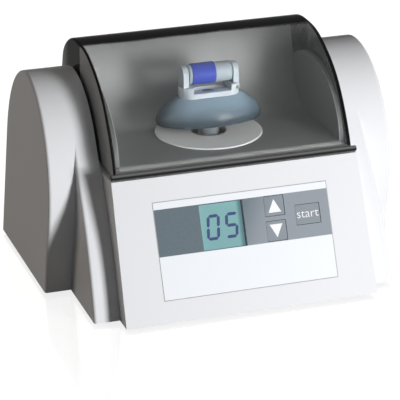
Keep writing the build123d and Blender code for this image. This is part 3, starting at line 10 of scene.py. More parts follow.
import bpy
import numpy as np
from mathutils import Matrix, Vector


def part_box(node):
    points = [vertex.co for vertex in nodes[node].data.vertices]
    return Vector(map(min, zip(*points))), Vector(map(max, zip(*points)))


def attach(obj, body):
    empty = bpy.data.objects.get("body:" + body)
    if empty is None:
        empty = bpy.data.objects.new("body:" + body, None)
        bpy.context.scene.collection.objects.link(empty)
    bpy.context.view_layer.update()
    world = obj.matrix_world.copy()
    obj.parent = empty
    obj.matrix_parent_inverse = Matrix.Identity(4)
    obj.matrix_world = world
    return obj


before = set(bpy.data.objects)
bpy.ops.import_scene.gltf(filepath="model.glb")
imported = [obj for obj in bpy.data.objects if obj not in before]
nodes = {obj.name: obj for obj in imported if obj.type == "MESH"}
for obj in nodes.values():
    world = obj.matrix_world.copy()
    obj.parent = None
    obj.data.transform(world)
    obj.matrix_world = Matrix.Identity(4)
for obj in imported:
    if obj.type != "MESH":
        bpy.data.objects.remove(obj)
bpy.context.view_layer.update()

MM = 0.001
PER_METRE = 1000.0
WHITE = (1.0, 1.0, 1.0)

# ---- the control panel's plane ----
PANEL_LEAN = radians(23.64)
PANEL_FOOT = Vector((0.0, -96.0, 2.5)) * MM
PANEL_ACROSS = Vector((1.0, 0.0, 0.0))
PANEL_UP = Vector((0.0, sin(PANEL_LEAN), cos(PANEL_LEAN)))
PANEL_OUT = Vector((0.0, -cos(PANEL_LEAN), sin(PANEL_LEAN)))

# ---- what is printed on the foil: its fields and the soft step at their edges, and the painted sheen ----
FOIL_LEFT, FOIL_RIGHT = -61.6, 62.7
FOIL_LOW, FOIL_HIGH = 15.0, 81.2
BAND_LOW, BAND_HIGH = 44.4, 76.1
FOIL_LINE = 0.45
PRINT_SOFT = 0.12
SHEEN_FROM, SHEEN_TO = -14.0, 22.0
SHEEN_LEVEL = 60.0
SHEEN_LEAN = 0.5
FOIL_WHITE = (0.82, 0.85, 0.89)
FOIL_LINE_GREY = (0.42, 0.42, 0.43)

# ---- what is printed on the keys ----
KEY_FACE = -0.25 * MM
KEY_FACE_DEPTH = 0.1 * MM
PRINT_LIFT = 0.03 * MM
TRIANGLE_HALF_WIDTH = 4.6
TRIANGLE_HALF_HEIGHT = 4.5
LETTERS_SIZE = 7.0
LETTERS_WIDTH = 15.6
LETTERS_THINNED = -0.06
LETTERS_STEPS = 4

# ---- the display, with a painted shadow strip and a painted glow ----
LCD_FACE = -1.5 * MM
DIGIT_HEIGHT = 17.3
DIGIT_WIDTH = 9.3
DIGIT_STROKE = 2.1
DIGIT_SLANT = 0.105
DIGIT_LOW = 51.0
DIGIT_LEFTS = (-26.3, -13.2)
SEGMENT_GAP = 0.14
LCD_SHADOW_STRIP = (-3.6, -0.4)
LCD_PAINTED_GLOW = (40.0, 80.0)

# ---- the hood: what is left of straight light after one wall, painted darker at its sides and rear ----
FRONT_TINT = (0.93, 0.93, 0.93)
SIDE_PAINTED_TINT = (0.1, 0.1, 0.1)
REAR_PAINTED_TINT = (0.2, 0.2, 0.2)
FRONT_SHADE = (0.87, 0.87, 0.87)
SIDE_SHADE = (0.55, 0.55, 0.55)
REAR_SHADE = (0.25, 0.25, 0.25)
SMOKE_DENSITY = 131.0
SMOKE_COLOUR = (0.0, 0.03, 0.02, 1.0)

# ---- the hood: where its crown, rear and rim start and are full, along Y, Y and Z ----
CROWN_FROM, CROWN_TO = 24.0, 26.5
CROWN_WANDER = 3.0
# how much of the crown is painted black, as shade
CROWN_PAINTED_BLACK = 0.95
REAR_FROM, REAR_TO = 52.0, 70.0
RIM_FROM, RIM_TO = 96.2, 96.8

# ---- the hood: how far it must look aside to count as a side, and as a rounded edge ----
SIDE_TURN = (0.6, 0.9)
EDGE_TURN = (0.12, 0.3)
EDGE_END = (0.75, 0.92)

# ---- the hood: painted haze on its left side and its right side, and a painted highlight on its rim ----
PAINTED_HAZE_COLOUR = (0.33, 0.33, 0.33, 1.0)
LEFT_PAINTED_HAZE, RIGHT_PAINTED_HAZE, RIM_PAINTED_HIGHLIGHT = 0.65, 0.03, 0.6
HAZE_TURNS = (-5.0, 5.0)
# the polished black that is painted as shade on the crown and the rounded edges
PAINTED_BLACK_POLISH = {
    "Base Color": (0.01, 0.01, 0.01, 1.0),
    "Roughness": 0.12,
    "Specular IOR Level": 0.03,
}

# ---- the chamber: where its deck ends, where painted shade darkens its wall along X, and where its shaded flanks start ----
DECK_TOP = 98.2
# how far below the deck top the stem's painted shade fades in
STEM_SHADE_FADE = 1.0
LINER_RISE = 38.0
LINER_DARKENS = (28.0, 76.0)
LINER_FLANK = (79.1, 79.6)

# ---- small features of single finishes ----
BOOT_SHADED_ENDS = (16.0, 37.0)
TRACK_PITCH, TRACK_WIDTH = 1.3, 0.35
LANE_PITCH, LANE_WIDTH = 1.7, 0.3
TRACK_WANDER = 5.0
RING_PITCH, RING_GAIN = 0.35, 2.86
TAPE_LAP = 6.0

# ---- camera, fitted to the photograph's straight edges ----
CAMERA_AT = Vector((-481.3, -1400.8, 659.6)) * MM
CAMERA_AIM = Vector((-10.08, -11.3, 51.7)) * MM
CAMERA_LENS = 205.3
CAMERA_SENSOR = 36.0
CAMERA_CLIP = (0.05, 30.0)

# ---- the surround: what straight and mirrored looks meet, and what it lends as light ----
FLOOR_REACH = 6.0
FLOOR_COLOUR = (0.2, 0.2, 0.2)
FLOOR_ROUGHNESS = 0.08
FLOOR_GLOW = (0.97, 0.25)
# painted contact shadow on the floor: its reach, and the share of glow kept at the object
FLOOR_CONTACT_SHADOW = (0.07, 0.97)
FLOOR_DIMMED = 0.15
FLOOR_MIRROR = {"Color": (1.0, 1.0, 1.0, 1.0), "Roughness": 0.12}
SKY_GLOW = (1.0, 0.18)
SKY_FILL = 0.035
SKY_FILL_COLOUR = (1.0, 0.9, 0.78)

# ---- lamps: name, place, size, power, colour, and the only CAD nodes that it lights, if any ----
LAMPS_AIM = Vector((0.0, 0.0, 0.08))
WARM = (1.0, 0.91, 0.8)
HEAD = (
    "head_boot",
    "capsule_band",
    "capsule_body",
    "capsule_holder",
    "spring_prong",
    "chamber_disc",
)
LAMPS = (
    ("key_lamp", (0.74, -1.38, 0.3), (0.36, 0.36), 28.5, WHITE, ()),
    ("side_fill", (-2.4, 1.1, 0.5), (1.2, 1.2), 13.0, WARM, ()),
    ("front_strip", (-0.3, -1.6, 1.3), (0.7, 0.1), 2.0, WHITE, ()),
    ("hood_fill", (-1.3, -1.0, 0.9), (0.5, 0.5), 5.5, WHITE, ("lid_hood",)),
    ("head_fill", (0.45, -1.3, 0.65), (1.0, 0.06), 16.0, WHITE, HEAD),
    ("back_fill", (0.4, 2.2, 0.1), (1.6, 0.8), 22.0, WHITE, ()),
)

# ---- CAD nodes of one material ----
STEEL_NODES = (
    "housing_screws",
    "board_screws",
    "lid_hinge_pins",
    "motor_bearings",
    "motor_rotor",
    "drive_shaft",
    "skew_sleeve",
    "hub_inner_races",
    "hub_outer_races",
    "hub_bearing_balls",
    "guide_pin",
    "outboard_bearing",
    "isolator_screws",
    "prong_pivot",
    "prong_spring",
)
BLACK_NODES = (
    "key_switches",
    "lid_microswitch",
    "mains_inlet",
    "fuse_drawer",
    "power_switch_frame",
    "power_rocker",
)


# ---------------------------------------------------------------- shader language


class Wire:
    """A shader value. Arithmetic on it adds Math nodes to its tree."""

    def __init__(self, tree, socket):
        self.tree = tree
        self.socket = socket

    def _maths(self, operation, *values):
        return self.tree.node("ShaderNodeMath", {"operation": operation}, values)

    def __add__(self, other):
        return self._maths("ADD", self, other)

    def __sub__(self, other):
        return self._maths("SUBTRACT", self, other)

    def __rsub__(self, other):
        return self._maths("SUBTRACT", other, self)

    def __mul__(self, other):
        return self._maths("MULTIPLY", self, other)

    def __truediv__(self, other):
        return self._maths("DIVIDE", self, other)

    def __abs__(self):
        return self._maths("ABSOLUTE", self)

    def __lt__(self, other):
        return self._maths("LESS_THAN", self, other)

    def least(self, other):
        return self._maths("MINIMUM", self, other)

    def most(self, other):
        return self._maths("MAXIMUM", self, other)

    def fold(self, length):
        """Up to a length and back down to 0, over and over."""
        return self._maths("PINGPONG", self, length)

    def fraction(self):
        return self._maths("FRACT", self)

    def rise(self, start, end):
        """0 below start, 1 above end, with a soft step between."""
        settings = {"interpolation_type": "SMOOTHSTEP"}
        return self.tree.node("ShaderNodeMapRange", settings, (self, start, end, 0.0, 1.0))


class NodeTree:
    """A shader tree and the way its nodes are made."""

    def __init__(self, tree):
        self.tree = tree
        self.tree.nodes.clear()

    def node(self, kind, settings=None, inputs=(), output=0):
        """One shader node: its settings first, then its sockets' values or links."""
        made = self.tree.nodes.new(kind)
        for setting, value in (settings or {}).items():
            setattr(made, setting, value)
        named = inputs.items() if isinstance(inputs, dict) else enumerate(inputs)
        for key, value in named:
            self.feed(made.inputs[key], value)
        return Wire(self, made.outputs[output])

    def feed(self, socket, value):
        """Links a wire to a socket, or sets the socket to a plain value."""
        if isinstance(value, Wire):
            self.tree.links.new(value.socket, socket)
        else:
            socket.default_value = value

    def mix(self, mask, low, high):
        """A colour between low and high by a mask."""
        sockets = {0: mask, 6: self.colour(low), 7: self.colour(high)}
        return self.node("ShaderNodeMix", {"data_type": "RGBA"}, sockets, output=2)

    def layer(self, mask, below, above):
        """A shader between below and above by a mask."""
        return self.node("ShaderNodeMixShader", inputs=(mask, below, above))

    @staticmethod
    def colour(value):
        """Red, green and blue with full alpha added; a wire stays as it is."""
        return value if isinstance(value, Wire) else (*value, 1.0)

    def ray(self, fact):
        """What the light path says of the ray that meets the surface."""
        return self.node("ShaderNodeLightPath", output=fact)

    def surround(self, straight, mirrored):
        """The strength that straight and mirrored looks meet, nothing once light has scattered."""
        seen = self.ray("Is Camera Ray").most(self.ray("Is Transmission Ray")) * straight
        glossy = self.ray("Is Glossy Ray") * mirrored
        return seen.most(glossy) * (self.ray("Diffuse Depth") < 0.5)


class Finish(NodeTree):
    """One material: a principled shader and the nodes that feed it."""

    def __init__(self, name, colour, roughness, **sockets):
        self.material = bpy.data.materials.new(name)
        self.material.use_nodes = True
        super().__init__(self.material.node_tree)
        self.output = self.tree.nodes.new("ShaderNodeOutputMaterial")
        self.shader = self.node("ShaderNodeBsdfPrincipled")
        self.show(self.shader)
        self.place = None
        self.paint("Base Color", self.colour(colour))
        self.paint("Roughness", roughness)
        for socket, value in sockets.items():
            self.paint(socket.replace("_", " "), value)

    def show(self, shader):
        """Sends a shader to the material's surface."""
        self.feed(self.output.inputs["Surface"], shader)

    def paint(self, socket, value):
        """Sets or links one socket of the principled shader."""
        self.feed(self.shader.socket.node.inputs[socket], value)

    def roughen(self, mask, span, start):
        """Roughness from start, higher by up to span where the mask is 1."""
        self.paint("Roughness", mask * span + start)

    def spot(self):
        """The point on the piece, in metres, in the object's own frame."""
        if self.place is None:
            self.place = self.node("ShaderNodeTexCoord", output="Object")
        return self.place

    def axes(self):
        """The point's X, Y and Z as three values in millimetres."""
        split = self.node("ShaderNodeSeparateXYZ", inputs=(self.spot(),))
        outputs = split.socket.node.outputs
        return [Wire(self, outputs[name]) * PER_METRE for name in "XYZ"]

    def facing(self, axis):
        """How far the surface looks along an axis, from -1 to 1."""
        outward = self.node("ShaderNodeTexCoord", output="Normal")
        return self.node("ShaderNodeSeparateXYZ", inputs=(outward,), output=axis)

    def grain(self, size_mm, detail=2.0, stretch=(1.0, 1.0, 1.0)):
        """Noise from 0 to 1 with features of a size, stretched along the axes."""
        scale = tuple(1.0 / s for s in stretch)
        at = self.node("ShaderNodeMapping", inputs={"Vector": self.spot(), "Scale": scale})
        knobs = {"Vector": at, "Scale": PER_METRE / size_mm, "Detail": detail}
        return self.node("ShaderNodeTexNoise", inputs=knobs)

    def bump(self, height, depth_mm):
        """Relief from a height between 0 and 1."""
        knobs = {"Distance": depth_mm * MM, "Height": height}
        self.paint("Normal", self.node("ShaderNodeBump", inputs=knobs))


def scaled(colour, factor):
    """A colour made darker or lighter, kept within white."""
    return tuple(min(1.0, factor * c) for c in colour)


# ---------------------------------------------------------------- finishes


def moulded_plastic(name, colour, roughness, grain_mm, relief_mm, tint=0.02):
    """Satin moulded plastic: spark-eroded grain, and a faint drift in tone and gloss."""
    finish = Finish(name, colour, roughness, Specular_IOR_Level=0.4)
    drift = finish.grain(60.0, detail=3.0)
    tones = scaled(colour, 1.0 - tint), scaled(colour, 1.0 + tint)
    finish.paint("Base Color", finish.mix(drift, *tones))
    finish.roughen(drift, 0.08, roughness - 0.04)
    finish.bump(finish.grain(grain_mm), relief_mm)
    return finish


def rubber(name, colour, roughness):
    """Matt rubber with a dusty bloom and a fine pitted skin."""
    finish = Finish(name, colour, roughness, Specular_IOR_Level=0.3)
    bloom = finish.grain(9.0, detail=4.0).rise(0.45, 0.75)
    dusty = tuple(0.7 * c + 0.05 for c in colour)
    finish.paint("Base Color", finish.mix(bloom, colour, dusty))
    finish.roughen(bloom, 0.1, roughness)
    finish.bump(finish.grain(0.6), 0.03)
    return finish


def turned_metal(name, colour, roughness, stretch=(1.0, 1.0, 1.0), relief_mm=0.01):
    """Machined or plated metal with fine tool marks stretched along one axis."""
    finish = Finish(name, colour, roughness, Metallic=1.0)
    marks = finish.grain(0.5, detail=3.0, stretch=stretch)
    worn = finish.grain(14.0, detail=4.0).rise(0.4, 0.7)
    finish.paint("Base Color", finish.mix(worn, colour, scaled(colour, 0.8)))
    finish.paint("Roughness", marks * 0.15 + worn * 0.08 + (roughness - 0.08))
    finish.bump(marks, relief_mm)
    return finish


def cast_alloy():
    """Sand-cast light alloy with darker pits; painted dark grey as shade where it stands in the
    chamber.
    """
    finish = Finish("cast_alloy", (0.5, 0.51, 0.52), 0.5)
    skin = finish.grain(1.6, detail=4.0)
    pits = skin.rise(0.3, 0.55)
    # painted shade: dark grey and not metallic where the stem stands in the chamber under the boot
    painted_stem_shade = finish.axes()[2].rise(DECK_TOP - STEM_SHADE_FADE, DECK_TOP)
    metal = finish.mix(pits, (0.3, 0.3, 0.31), (0.56, 0.57, 0.58))
    finish.paint("Base Color", finish.mix(painted_stem_shade, metal, (0.2, 0.22, 0.24)))
    finish.paint("Metallic", 0.9 - painted_stem_shade * 0.9)
    finish.paint("Roughness", 0.65 - pits * 0.2)
    finish.bump(skin, 0.12)
    return finish


def panel_height(finish):
    """How far up the panel's slope a point lies, in millimetres."""
    _, y, z = finish.axes()
    foot_y = PANEL_FOOT.y / MM
    foot_z = PANEL_FOOT.z / MM
    return (y - foot_y) * PANEL_UP.y + (z - foot_z) * PANEL_UP.z


def painted_band_sheen(x, height):
    """Painted sheen from 0 to 1 along the grey band: dark at its left, brighter low and right of
    the display.
    """
    return (x - (height - SHEEN_LEVEL) * SHEEN_LEAN).rise(SHEEN_FROM, SHEEN_TO)


def printed_foil():
    """The panel's foil: white, a grey band with a painted sheen across it, and a thin grey line
    round its edge.
    """
    finish = Finish("printed_foil", FOIL_WHITE, 0.38, Specular_IOR_Level=0.35)
    x = finish.axes()[0]
    height = panel_height(finish)
    above_low = height.rise(BAND_LOW - PRINT_SOFT, BAND_LOW + PRINT_SOFT)
    above_high = height.rise(BAND_HIGH - PRINT_SOFT, BAND_HIGH + PRINT_SOFT)
    band = above_low * (1.0 - above_high)
    from_side = (x - FOIL_LEFT).least(FOIL_RIGHT - x)
    from_end = (height - FOIL_LOW).least(FOIL_HIGH - height)
    from_edge = from_side.least(from_end)
    line = 1.0 - from_edge.rise(FOIL_LINE - PRINT_SOFT, FOIL_LINE + PRINT_SOFT)
    # the band's grey, darker at its left and lighter to its right by a painted sheen
    tone = finish.mix(painted_band_sheen(x, height), (0.115, 0.15, 0.175), (0.28, 0.31, 0.35))
    speckle = finish.grain(0.9)
    metallic_tone = finish.mix(speckle * 0.2, tone, (0.36, 0.4, 0.43))
    printed = finish.mix(band, FOIL_WHITE, metallic_tone)
    finish.paint("Base Color", finish.mix(line, printed, FOIL_LINE_GREY))
    finish.roughen(speckle, 0.06, 0.36)
    finish.bump(finish.grain(0.35), 0.008)
    return finish


def key_print():
    """The keys' grey, as the foil's band with its painted sheen, a little darker and rubbed
    towards the middle.
    """
    finish = Finish("key_print", (0.27, 0.3, 0.325), 0.4, Specular_IOR_Level=0.35)
    rubbed = finish.grain(6.0, detail=3.0)
    # mostly the band's painted sheen, with a little random rubbing
    sheen = painted_band_sheen(finish.axes()[0], panel_height(finish)) * 0.8 + rubbed * 0.2
    finish.paint("Base Color", finish.mix(sheen, (0.11, 0.145, 0.17), (0.28, 0.31, 0.345)))
    finish.roughen(rubbed, 0.12, 0.34)
    finish.bump(finish.grain(0.35), 0.008)
    return finish


def liquid_crystal():
    """The display's sea-green ground with a painted glow, and a painted shadow as a darker strip
    on its right.
    """
    finish = Finish("liquid_crystal", (0.3, 0.6, 0.55), 0.3, Specular_IOR_Level=0.3)
    # painted shadow along the display's right edge
    strip = finish.axes()[0].rise(*LCD_SHADOW_STRIP)
    # random tone, and a painted glow that is lighter higher up the panel
    glow = finish.grain(25.0) * 0.3 + panel_height(finish).rise(*LCD_PAINTED_GLOW) * 0.4
    ground = finish.mix(glow, (0.17, 0.36, 0.385), (0.21, 0.43, 0.43))
    finish.paint("Base Color", finish.mix(strip, ground, (0.06, 0.16, 0.2)))
    finish.bump(finish.grain(0.3), 0.003)
    return finish


def ink(name, colour, roughness=0.45):
    """Screen-printed ink with a faint unevenness."""
    finish = Finish(name, colour, roughness, Specular_IOR_Level=0.35)
    thin = finish.grain(1.2, detail=3.0)
    finish.paint("Base Color", finish.mix(thin, scaled(colour, 0.93), colour))
    finish.roughen(thin, 0.1, roughness - 0.05)
    return finish


def clear_pane():
    """The clear pane over the display: nearly all see-through, with a soft gloss."""
    finish = Finish("clear_pane", (0.8, 0.95, 0.93), 0.08, Alpha=0.04, Specular_IOR_Level=0.4)
    finish.roughen(finish.grain(12.0, detail=3.0), 0.05, 0.04)
    return finish


def smoky_acrylic():
    """Clear acrylic with grey through its thickness, painted darker at its sides and crown as
    shade, and greyed by a painted haze, far more on its left side than on its right.

    Its rounded edges and its crown are painted black and polished as shade, and its rim carries a
    painted highlight as a pale haze. Light for shadows passes straight, and loses a wall's tint on
    its way.
    """
    finish = Finish("smoky_acrylic", WHITE, 0.02, IOR=1.49, Transmission_Weight=1.0)
    x, y, z = finish.axes()
    aside = abs(finish.facing("X"))
    side = aside.rise(*SIDE_TURN)
    edge = aside.rise(*EDGE_TURN) * (1.0 - aside.rise(*EDGE_END))
    drift = CROWN_WANDER / 2
    wandering = y + finish.grain(25.0, detail=3.0) * CROWN_WANDER
    crown = wandering.rise(CROWN_FROM + drift, CROWN_TO + drift)

    # painted shade: the sides, the crown and the rear let less straight light through than the
    # front
    shaded_walls = finish.mix(crown, FRONT_TINT, REAR_PAINTED_TINT)
    finish.paint("Base Color", finish.mix(side, shaded_walls, SIDE_PAINTED_TINT))
    finish.roughen(finish.grain(30.0, detail=4.0).rise(0.45, 0.8), 0.03, 0.015)
    knobs = {"Color": SMOKE_COLOUR, "Density": SMOKE_DENSITY}
    smoke = finish.node("ShaderNodeVolumeAbsorption", inputs=knobs)
    finish.feed(finish.output.inputs["Volume"], smoke)

    # painted light: a grey haze on the left side, hardly any on the right, and a pale painted
    # highlight along the rim
    haze = finish.node("ShaderNodeBsdfDiffuse", inputs={"Color": PAINTED_HAZE_COLOUR})
    left = 1.0 - x.rise(*HAZE_TURNS)
    rim = 1.0 - z.rise(RIM_FROM, RIM_TO)
    painted_haze_mask = (side * (left * (LEFT_PAINTED_HAZE - RIGHT_PAINTED_HAZE) + RIGHT_PAINTED_HAZE)).most(rim * RIM_PAINTED_HIGHLIGHT)
    body = finish.layer(painted_haze_mask, finish.shader, haze)

    # painted shade: the crown and the rounded edges black and polished
    black = finish.node("ShaderNodeBsdfPrincipled", inputs=PAINTED_BLACK_POLISH)
    dark = (crown * (1.0 - y.rise(REAR_FROM, REAR_TO)) * CROWN_PAINTED_BLACK).most(edge)
    body = finish.layer(dark, body, black)

    dimmed = finish.mix(side, finish.mix(crown, FRONT_SHADE, REAR_SHADE), SIDE_SHADE)
    straight = finish.node("ShaderNodeBsdfTransparent", inputs={"Color": dimmed})
    finish.show(finish.layer(finish.ray("Is Shadow Ray"), body, straight))
    return finish


def smoky_bar():
    """The hood's solid bar, polished black, with a painted sky reflection that makes it pale where
    it looks up.
    """
    finish = Finish("smoky_bar", (0.008, 0.008, 0.008), 0.1)
    # painted reflection of the sky where the bar looks up
    sky_reflection_mask = finish.facing("Z").rise(0.1, 0.75)
    finish.paint("Base Color", finish.mix(sky_reflection_mask, (0.006, 0.006, 0.006), (0.16, 0.165, 0.16)))
    finish.roughen(finish.grain(10.0, detail=4.0), 0.08, 0.06)
    return finish


def boot_rubber():
    """Satin blue-grey elastomer with painted shade: darker where it turns down to its rim and at
    its ends.
    """
    finish = Finish("boot_rubber", (0.26, 0.36, 0.44), 0.28)
    drift = finish.grain(18.0, detail=3.0)
    # painted shade: darker at the ends, and darker where the surface turns away from looking up
    ends = abs(finish.axes()[0]).rise(*BOOT_SHADED_ENDS)
    lit = finish.facing("Z").rise(0.05, 0.8) * (1.0 - ends * 0.7)
    top = finish.mix(drift, (0.24, 0.33, 0.41), (0.28, 0.38, 0.465))
    finish.paint("Base Color", finish.mix(lit, (0.04, 0.062, 0.08), top))
    finish.roughen(drift, 0.08, 0.2)
    finish.bump(finish.grain(0.5), 0.006)
    return finish


def milky_plastic(name, colour, roughness):
    """Glossy, slightly translucent plastic with a faint cloudiness."""
    finish = Finish(name, colour, roughness, Subsurface_Weight=0.15, Subsurface_Scale=0.002)
    cloud = finish.grain(7.0, detail=3.0)
    finish.paint("Base Color", finish.mix(cloud, scaled(colour, 0.95), scaled(colour, 1.04)))
    finish.roughen(cloud, 0.08, roughness - 0.04)
    return finish


def glossy_blue():
    """The capsule's royal blue sleeve."""
    finish = Finish("glossy_blue", (0.03, 0.06, 0.5), 0.16, Coat_Weight=0.6)
    cloud = finish.grain(5.0, detail=3.0)
    finish.paint("Base Color", finish.mix(cloud, (0.04, 0.07, 0.46), (0.06, 0.1, 0.56)))
    finish.roughen(cloud, 0.08, 0.2)
    return finish


def circuit_board():
    """Green solder mask over tracks that run both ways."""
    finish = Finish("circuit_board", (0.03, 0.19, 0.08), 0.35)
    x, y, _ = finish.axes()
    wander = finish.grain(7.0) * TRACK_WANDER
    tracks = (x + wander).fold(TRACK_PITCH)
    lanes = (y + wander).fold(LANE_PITCH)
    copper = (tracks < TRACK_WIDTH).most(lanes < LANE_WIDTH)
    finish.paint("Base Color", finish.mix(copper, (0.02, 0.15, 0.06), (0.05, 0.27, 0.11)))
    finish.bump(copper, 0.04)
    return finish


def wound_copper():
    """Laminated stack with enamelled windings: fine rings along the shaft."""
    finish = Finish("wound_copper", (0.5, 0.22, 0.08), 0.35, Metallic=0.7)
    rings = finish.axes()[0].fold(RING_PITCH) * RING_GAIN
    finish.paint("Base Color", finish.mix(rings, (0.2, 0.08, 0.03), (0.62, 0.28, 0.1)))
    finish.bump(rings, 0.1)
    return finish


def taped_coil():
    """Yellow tape round a winding, with the overlap of its turns."""
    finish = Finish("taped_coil", (0.75, 0.55, 0.1), 0.4)
    laps = (finish.axes()[2] / TAPE_LAP).fraction()
    finish.paint("Base Color", finish.mix(laps, (0.62, 0.43, 0.06), (0.8, 0.6, 0.13)))
    finish.bump(laps, 0.08)
    return finish


def fuse_glass():
    """Clear glass tube of a fuse."""
    finish = Finish("fuse_glass", (0.85, 0.88, 0.88), 0.05, Alpha=0.55)
    finish.roughen(finish.grain(4.0), 0.06, 0.03)
    return finish


def chamber_plastic():
    """The chamber's grey with painted shade: darker towards its deck and its right, near black on
    its flanks.
    """
    finish = moulded_plastic("liner_plastic", (0.5, 0.505, 0.5), 0.4, 0.6, 0.015)
    x, _, z = finish.axes()
    # painted shade: the wall darker to the right, the deck darker, the flanks near black
    wall = finish.mix(x.rise(*LINER_DARKENS), (0.57, 0.575, 0.57), (0.3, 0.3, 0.295))
    lit = z.rise(DECK_TOP, DECK_TOP + LINER_RISE)
    shade = finish.mix(lit, (0.28, 0.285, 0.28), wall)
    flank = abs(x).rise(*LINER_FLANK)
    finish.paint("Base Color", finish.mix(flank, shade, (0.14, 0.14, 0.14)))
    return finish


def dress(finish, *names):
    """Puts a finish on CAD nodes, slot by slot."""
    for name in names:
        for slot in nodes[name].material_slots:
            slot.material = finish.material


# ---------------------------------------------------------------- surfaces


def panel_points(across, up, out):
    """Panel coordinates in millimetres, and a lift in metres, turned into points in the frame.

    point = foot + across * PANEL_ACROSS + up * PANEL_UP + out * PANEL_OUT
    """
    across, up, out = np.broadcast_arrays(across, up, out)
    return (
        np.array(PANEL_FOOT)
        + across[..., None] * MM * np.array(PANEL_ACROSS)
        + up[..., None] * MM * np.array(PANEL_UP)
        + out[..., None] * np.array(PANEL_OUT)
    )


def make_piece(name, points, faces, body, finish):
    """A mesh from points and faces that rides on a body and takes its finish from a slot."""
    mesh = bpy.data.meshes.new(name)
    mesh.from_pydata([tuple(p) for p in points], [], [tuple(f) for f in faces])
    mesh.materials.append(finish.material)
    piece = bpy.data.objects.new(name, mesh)
    bpy.context.scene.collection.objects.link(piece)
    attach(piece, body)


def mesh_places(mesh):
    """A mesh's vertices as rows of X, Y and Z."""
    places = np.empty(len(mesh.vertices) * 3)
    mesh.vertices.foreach_get("co", places)
    return places.reshape(-1, 3)


def raised_outline(outline, low, high):
    """A flat outline on the panel given a thickness: its top, its foot and a wall all round.

    The top is the outline lifted to high, the foot is the same outline at low, and each side of
    the wall joins two neighbours of the one to the same two of the other.
    """
    count = len(outline)
    across, up = np.array(outline).T
    points = np.vstack([panel_points(across, up, high), panel_points(across, up, low)])
    top = [list(range(count))]
    foot = [list(range(2 * count - 1, count - 1, -1))]
    wall = [[k, k + count, (k + 1) % count + count, (k + 1) % count] for k in range(count)]
    return points, top + foot + wall


def join_shapes(shapes):
    """Several (points, faces) pairs as one."""
    points, faces, start = [], [], 0
    for some_points, some_faces in shapes:
        points.append(some_points)
        faces += [[i + start for i in face] for face in some_faces]
        start += len(some_points)
    return np.vstack(points), faces


def segment_outline(start, end, half):
    """A bar from start to end, half as wide to each side, with both ends cut at 45 degrees.

    Each end stops SEGMENT_GAP short, so that two bars that meet leave a thin gap.
    """
    start, end = np.array(start), np.array(end)
    along = (end - start) / np.linalg.norm(end - start)
    side = np.array((-along[1], along[0]))
    start = start + along * SEGMENT_GAP
    end = end - along * SEGMENT_GAP
    corners = [
        start,
        start + half * (along - side),
        end - half * (along + side),
        end,
        end - half * (along - side),
        start + half * (along + side),
    ]
    return np.array(corners)


def lcd_digits(finish):
    """The reading on the display: two seven-segment digits that lean a little to the right.

    A segment is a bar whose ends are cut at 45 degrees; a point at height h above the digit's
    foot moves right by DIGIT_SLANT * h.
    """
    half = DIGIT_STROKE / 2
    left, right = half, DIGIT_WIDTH - half
    low, middle, high = half, DIGIT_HEIGHT / 2, DIGIT_HEIGHT - half
    ends = {
        "top": ((left, high), (right, high)),
        "bottom": ((left, low), (right, low)),
        "middle": ((left, middle), (right, middle)),
        "left_high": ((left, middle), (left, high)),
        "left_low": ((left, low), (left, middle)),
        "right_high": ((right, middle), (right, high)),
        "right_low": ((right, low), (right, middle)),
    }
    shown = (
        ("top", "bottom", "left_high", "left_low", "right_high", "right_low"),
        ("top", "left_high", "middle", "right_low", "bottom"),
    )
    shapes = []
    for digit_left, names in zip(DIGIT_LEFTS, shown):
        for name in names:
            outline = segment_outline(*ends[name], half)
            outline[:, 0] += digit_left + DIGIT_SLANT * outline[:, 1]
            outline[:, 1] += DIGIT_LOW
            shapes.append(raised_outline(outline, LCD_FACE, LCD_FACE + PRINT_LIFT))
    points, faces = join_shapes(shapes)
    make_piece("lcd_digits", points, faces, "casing", finish)


def key_middle(key):
    """How far across and how far up the panel a key's face has its middle, in millimetres."""
    low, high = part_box(key)
    across = (low.x + high.x) / 2 / MM
    points = mesh_places(nodes[key].data) - np.array(PANEL_FOOT)
    out = points @ np.array(PANEL_OUT)
    face = points[out > out.max() - KEY_FACE_DEPTH] @ np.array(PANEL_UP)
    return across, (face.min() + face.max()) / 2 / MM


def key_triangle(key, body, points_up, finish):
    """The white triangle printed on a key, pointing up or down the panel.

    Its base lies half its height before the key's middle and its tip half its height beyond it.
    """
    across, up = key_middle(key)
    way = TRIANGLE_HALF_HEIGHT if points_up else -TRIANGLE_HALF_HEIGHT
    outline = [
        (across - TRIANGLE_HALF_WIDTH, up - way),
        (across + TRIANGLE_HALF_WIDTH, up - way),
        (across, up + way),
    ]
    if not points_up:
        outline.reverse()
    points, faces = raised_outline(outline, KEY_FACE, KEY_FACE + PRINT_LIFT)
    make_piece(key + "_print", points, faces, body, finish)


def start_lettering(finish):
    """The word on the start key, as flat letters of even thickness laid on the key's face.

    The flat letters are scaled to LETTERS_WIDTH and put with their middle on the key's middle.
    """
    curve = bpy.data.curves.new("start_letters", "FONT")
    curve.body = "start"
    curve.align_x = "CENTER"
    curve.align_y = "CENTER"
    curve.size = LETTERS_SIZE
    curve.resolution_u = LETTERS_STEPS
    curve.offset = LETTERS_THINNED
    holder = bpy.data.objects.new("start_letters", curve)
    bpy.context.scene.collection.objects.link(holder)
    bpy.context.view_layer.update()
    flat = bpy.data.meshes.new_from_object(holder)
    bpy.data.objects.remove(holder)
    places = mesh_places(flat)[:, :2]
    places = places * (LETTERS_WIDTH / np.ptp(places[:, 0]))
    places = places - (places.max(0) + places.min(0)) / 2
    across, up = places.T
    middle_across, middle_up = key_middle("start_key")
    points = panel_points(across + middle_across, up + middle_up, KEY_FACE + PRINT_LIFT)
    faces = [list(p.vertices) for p in flat.polygons]
    make_piece("start_key_print", points, faces, "start_button", finish)


# ---------------------------------------------------------------- the whole


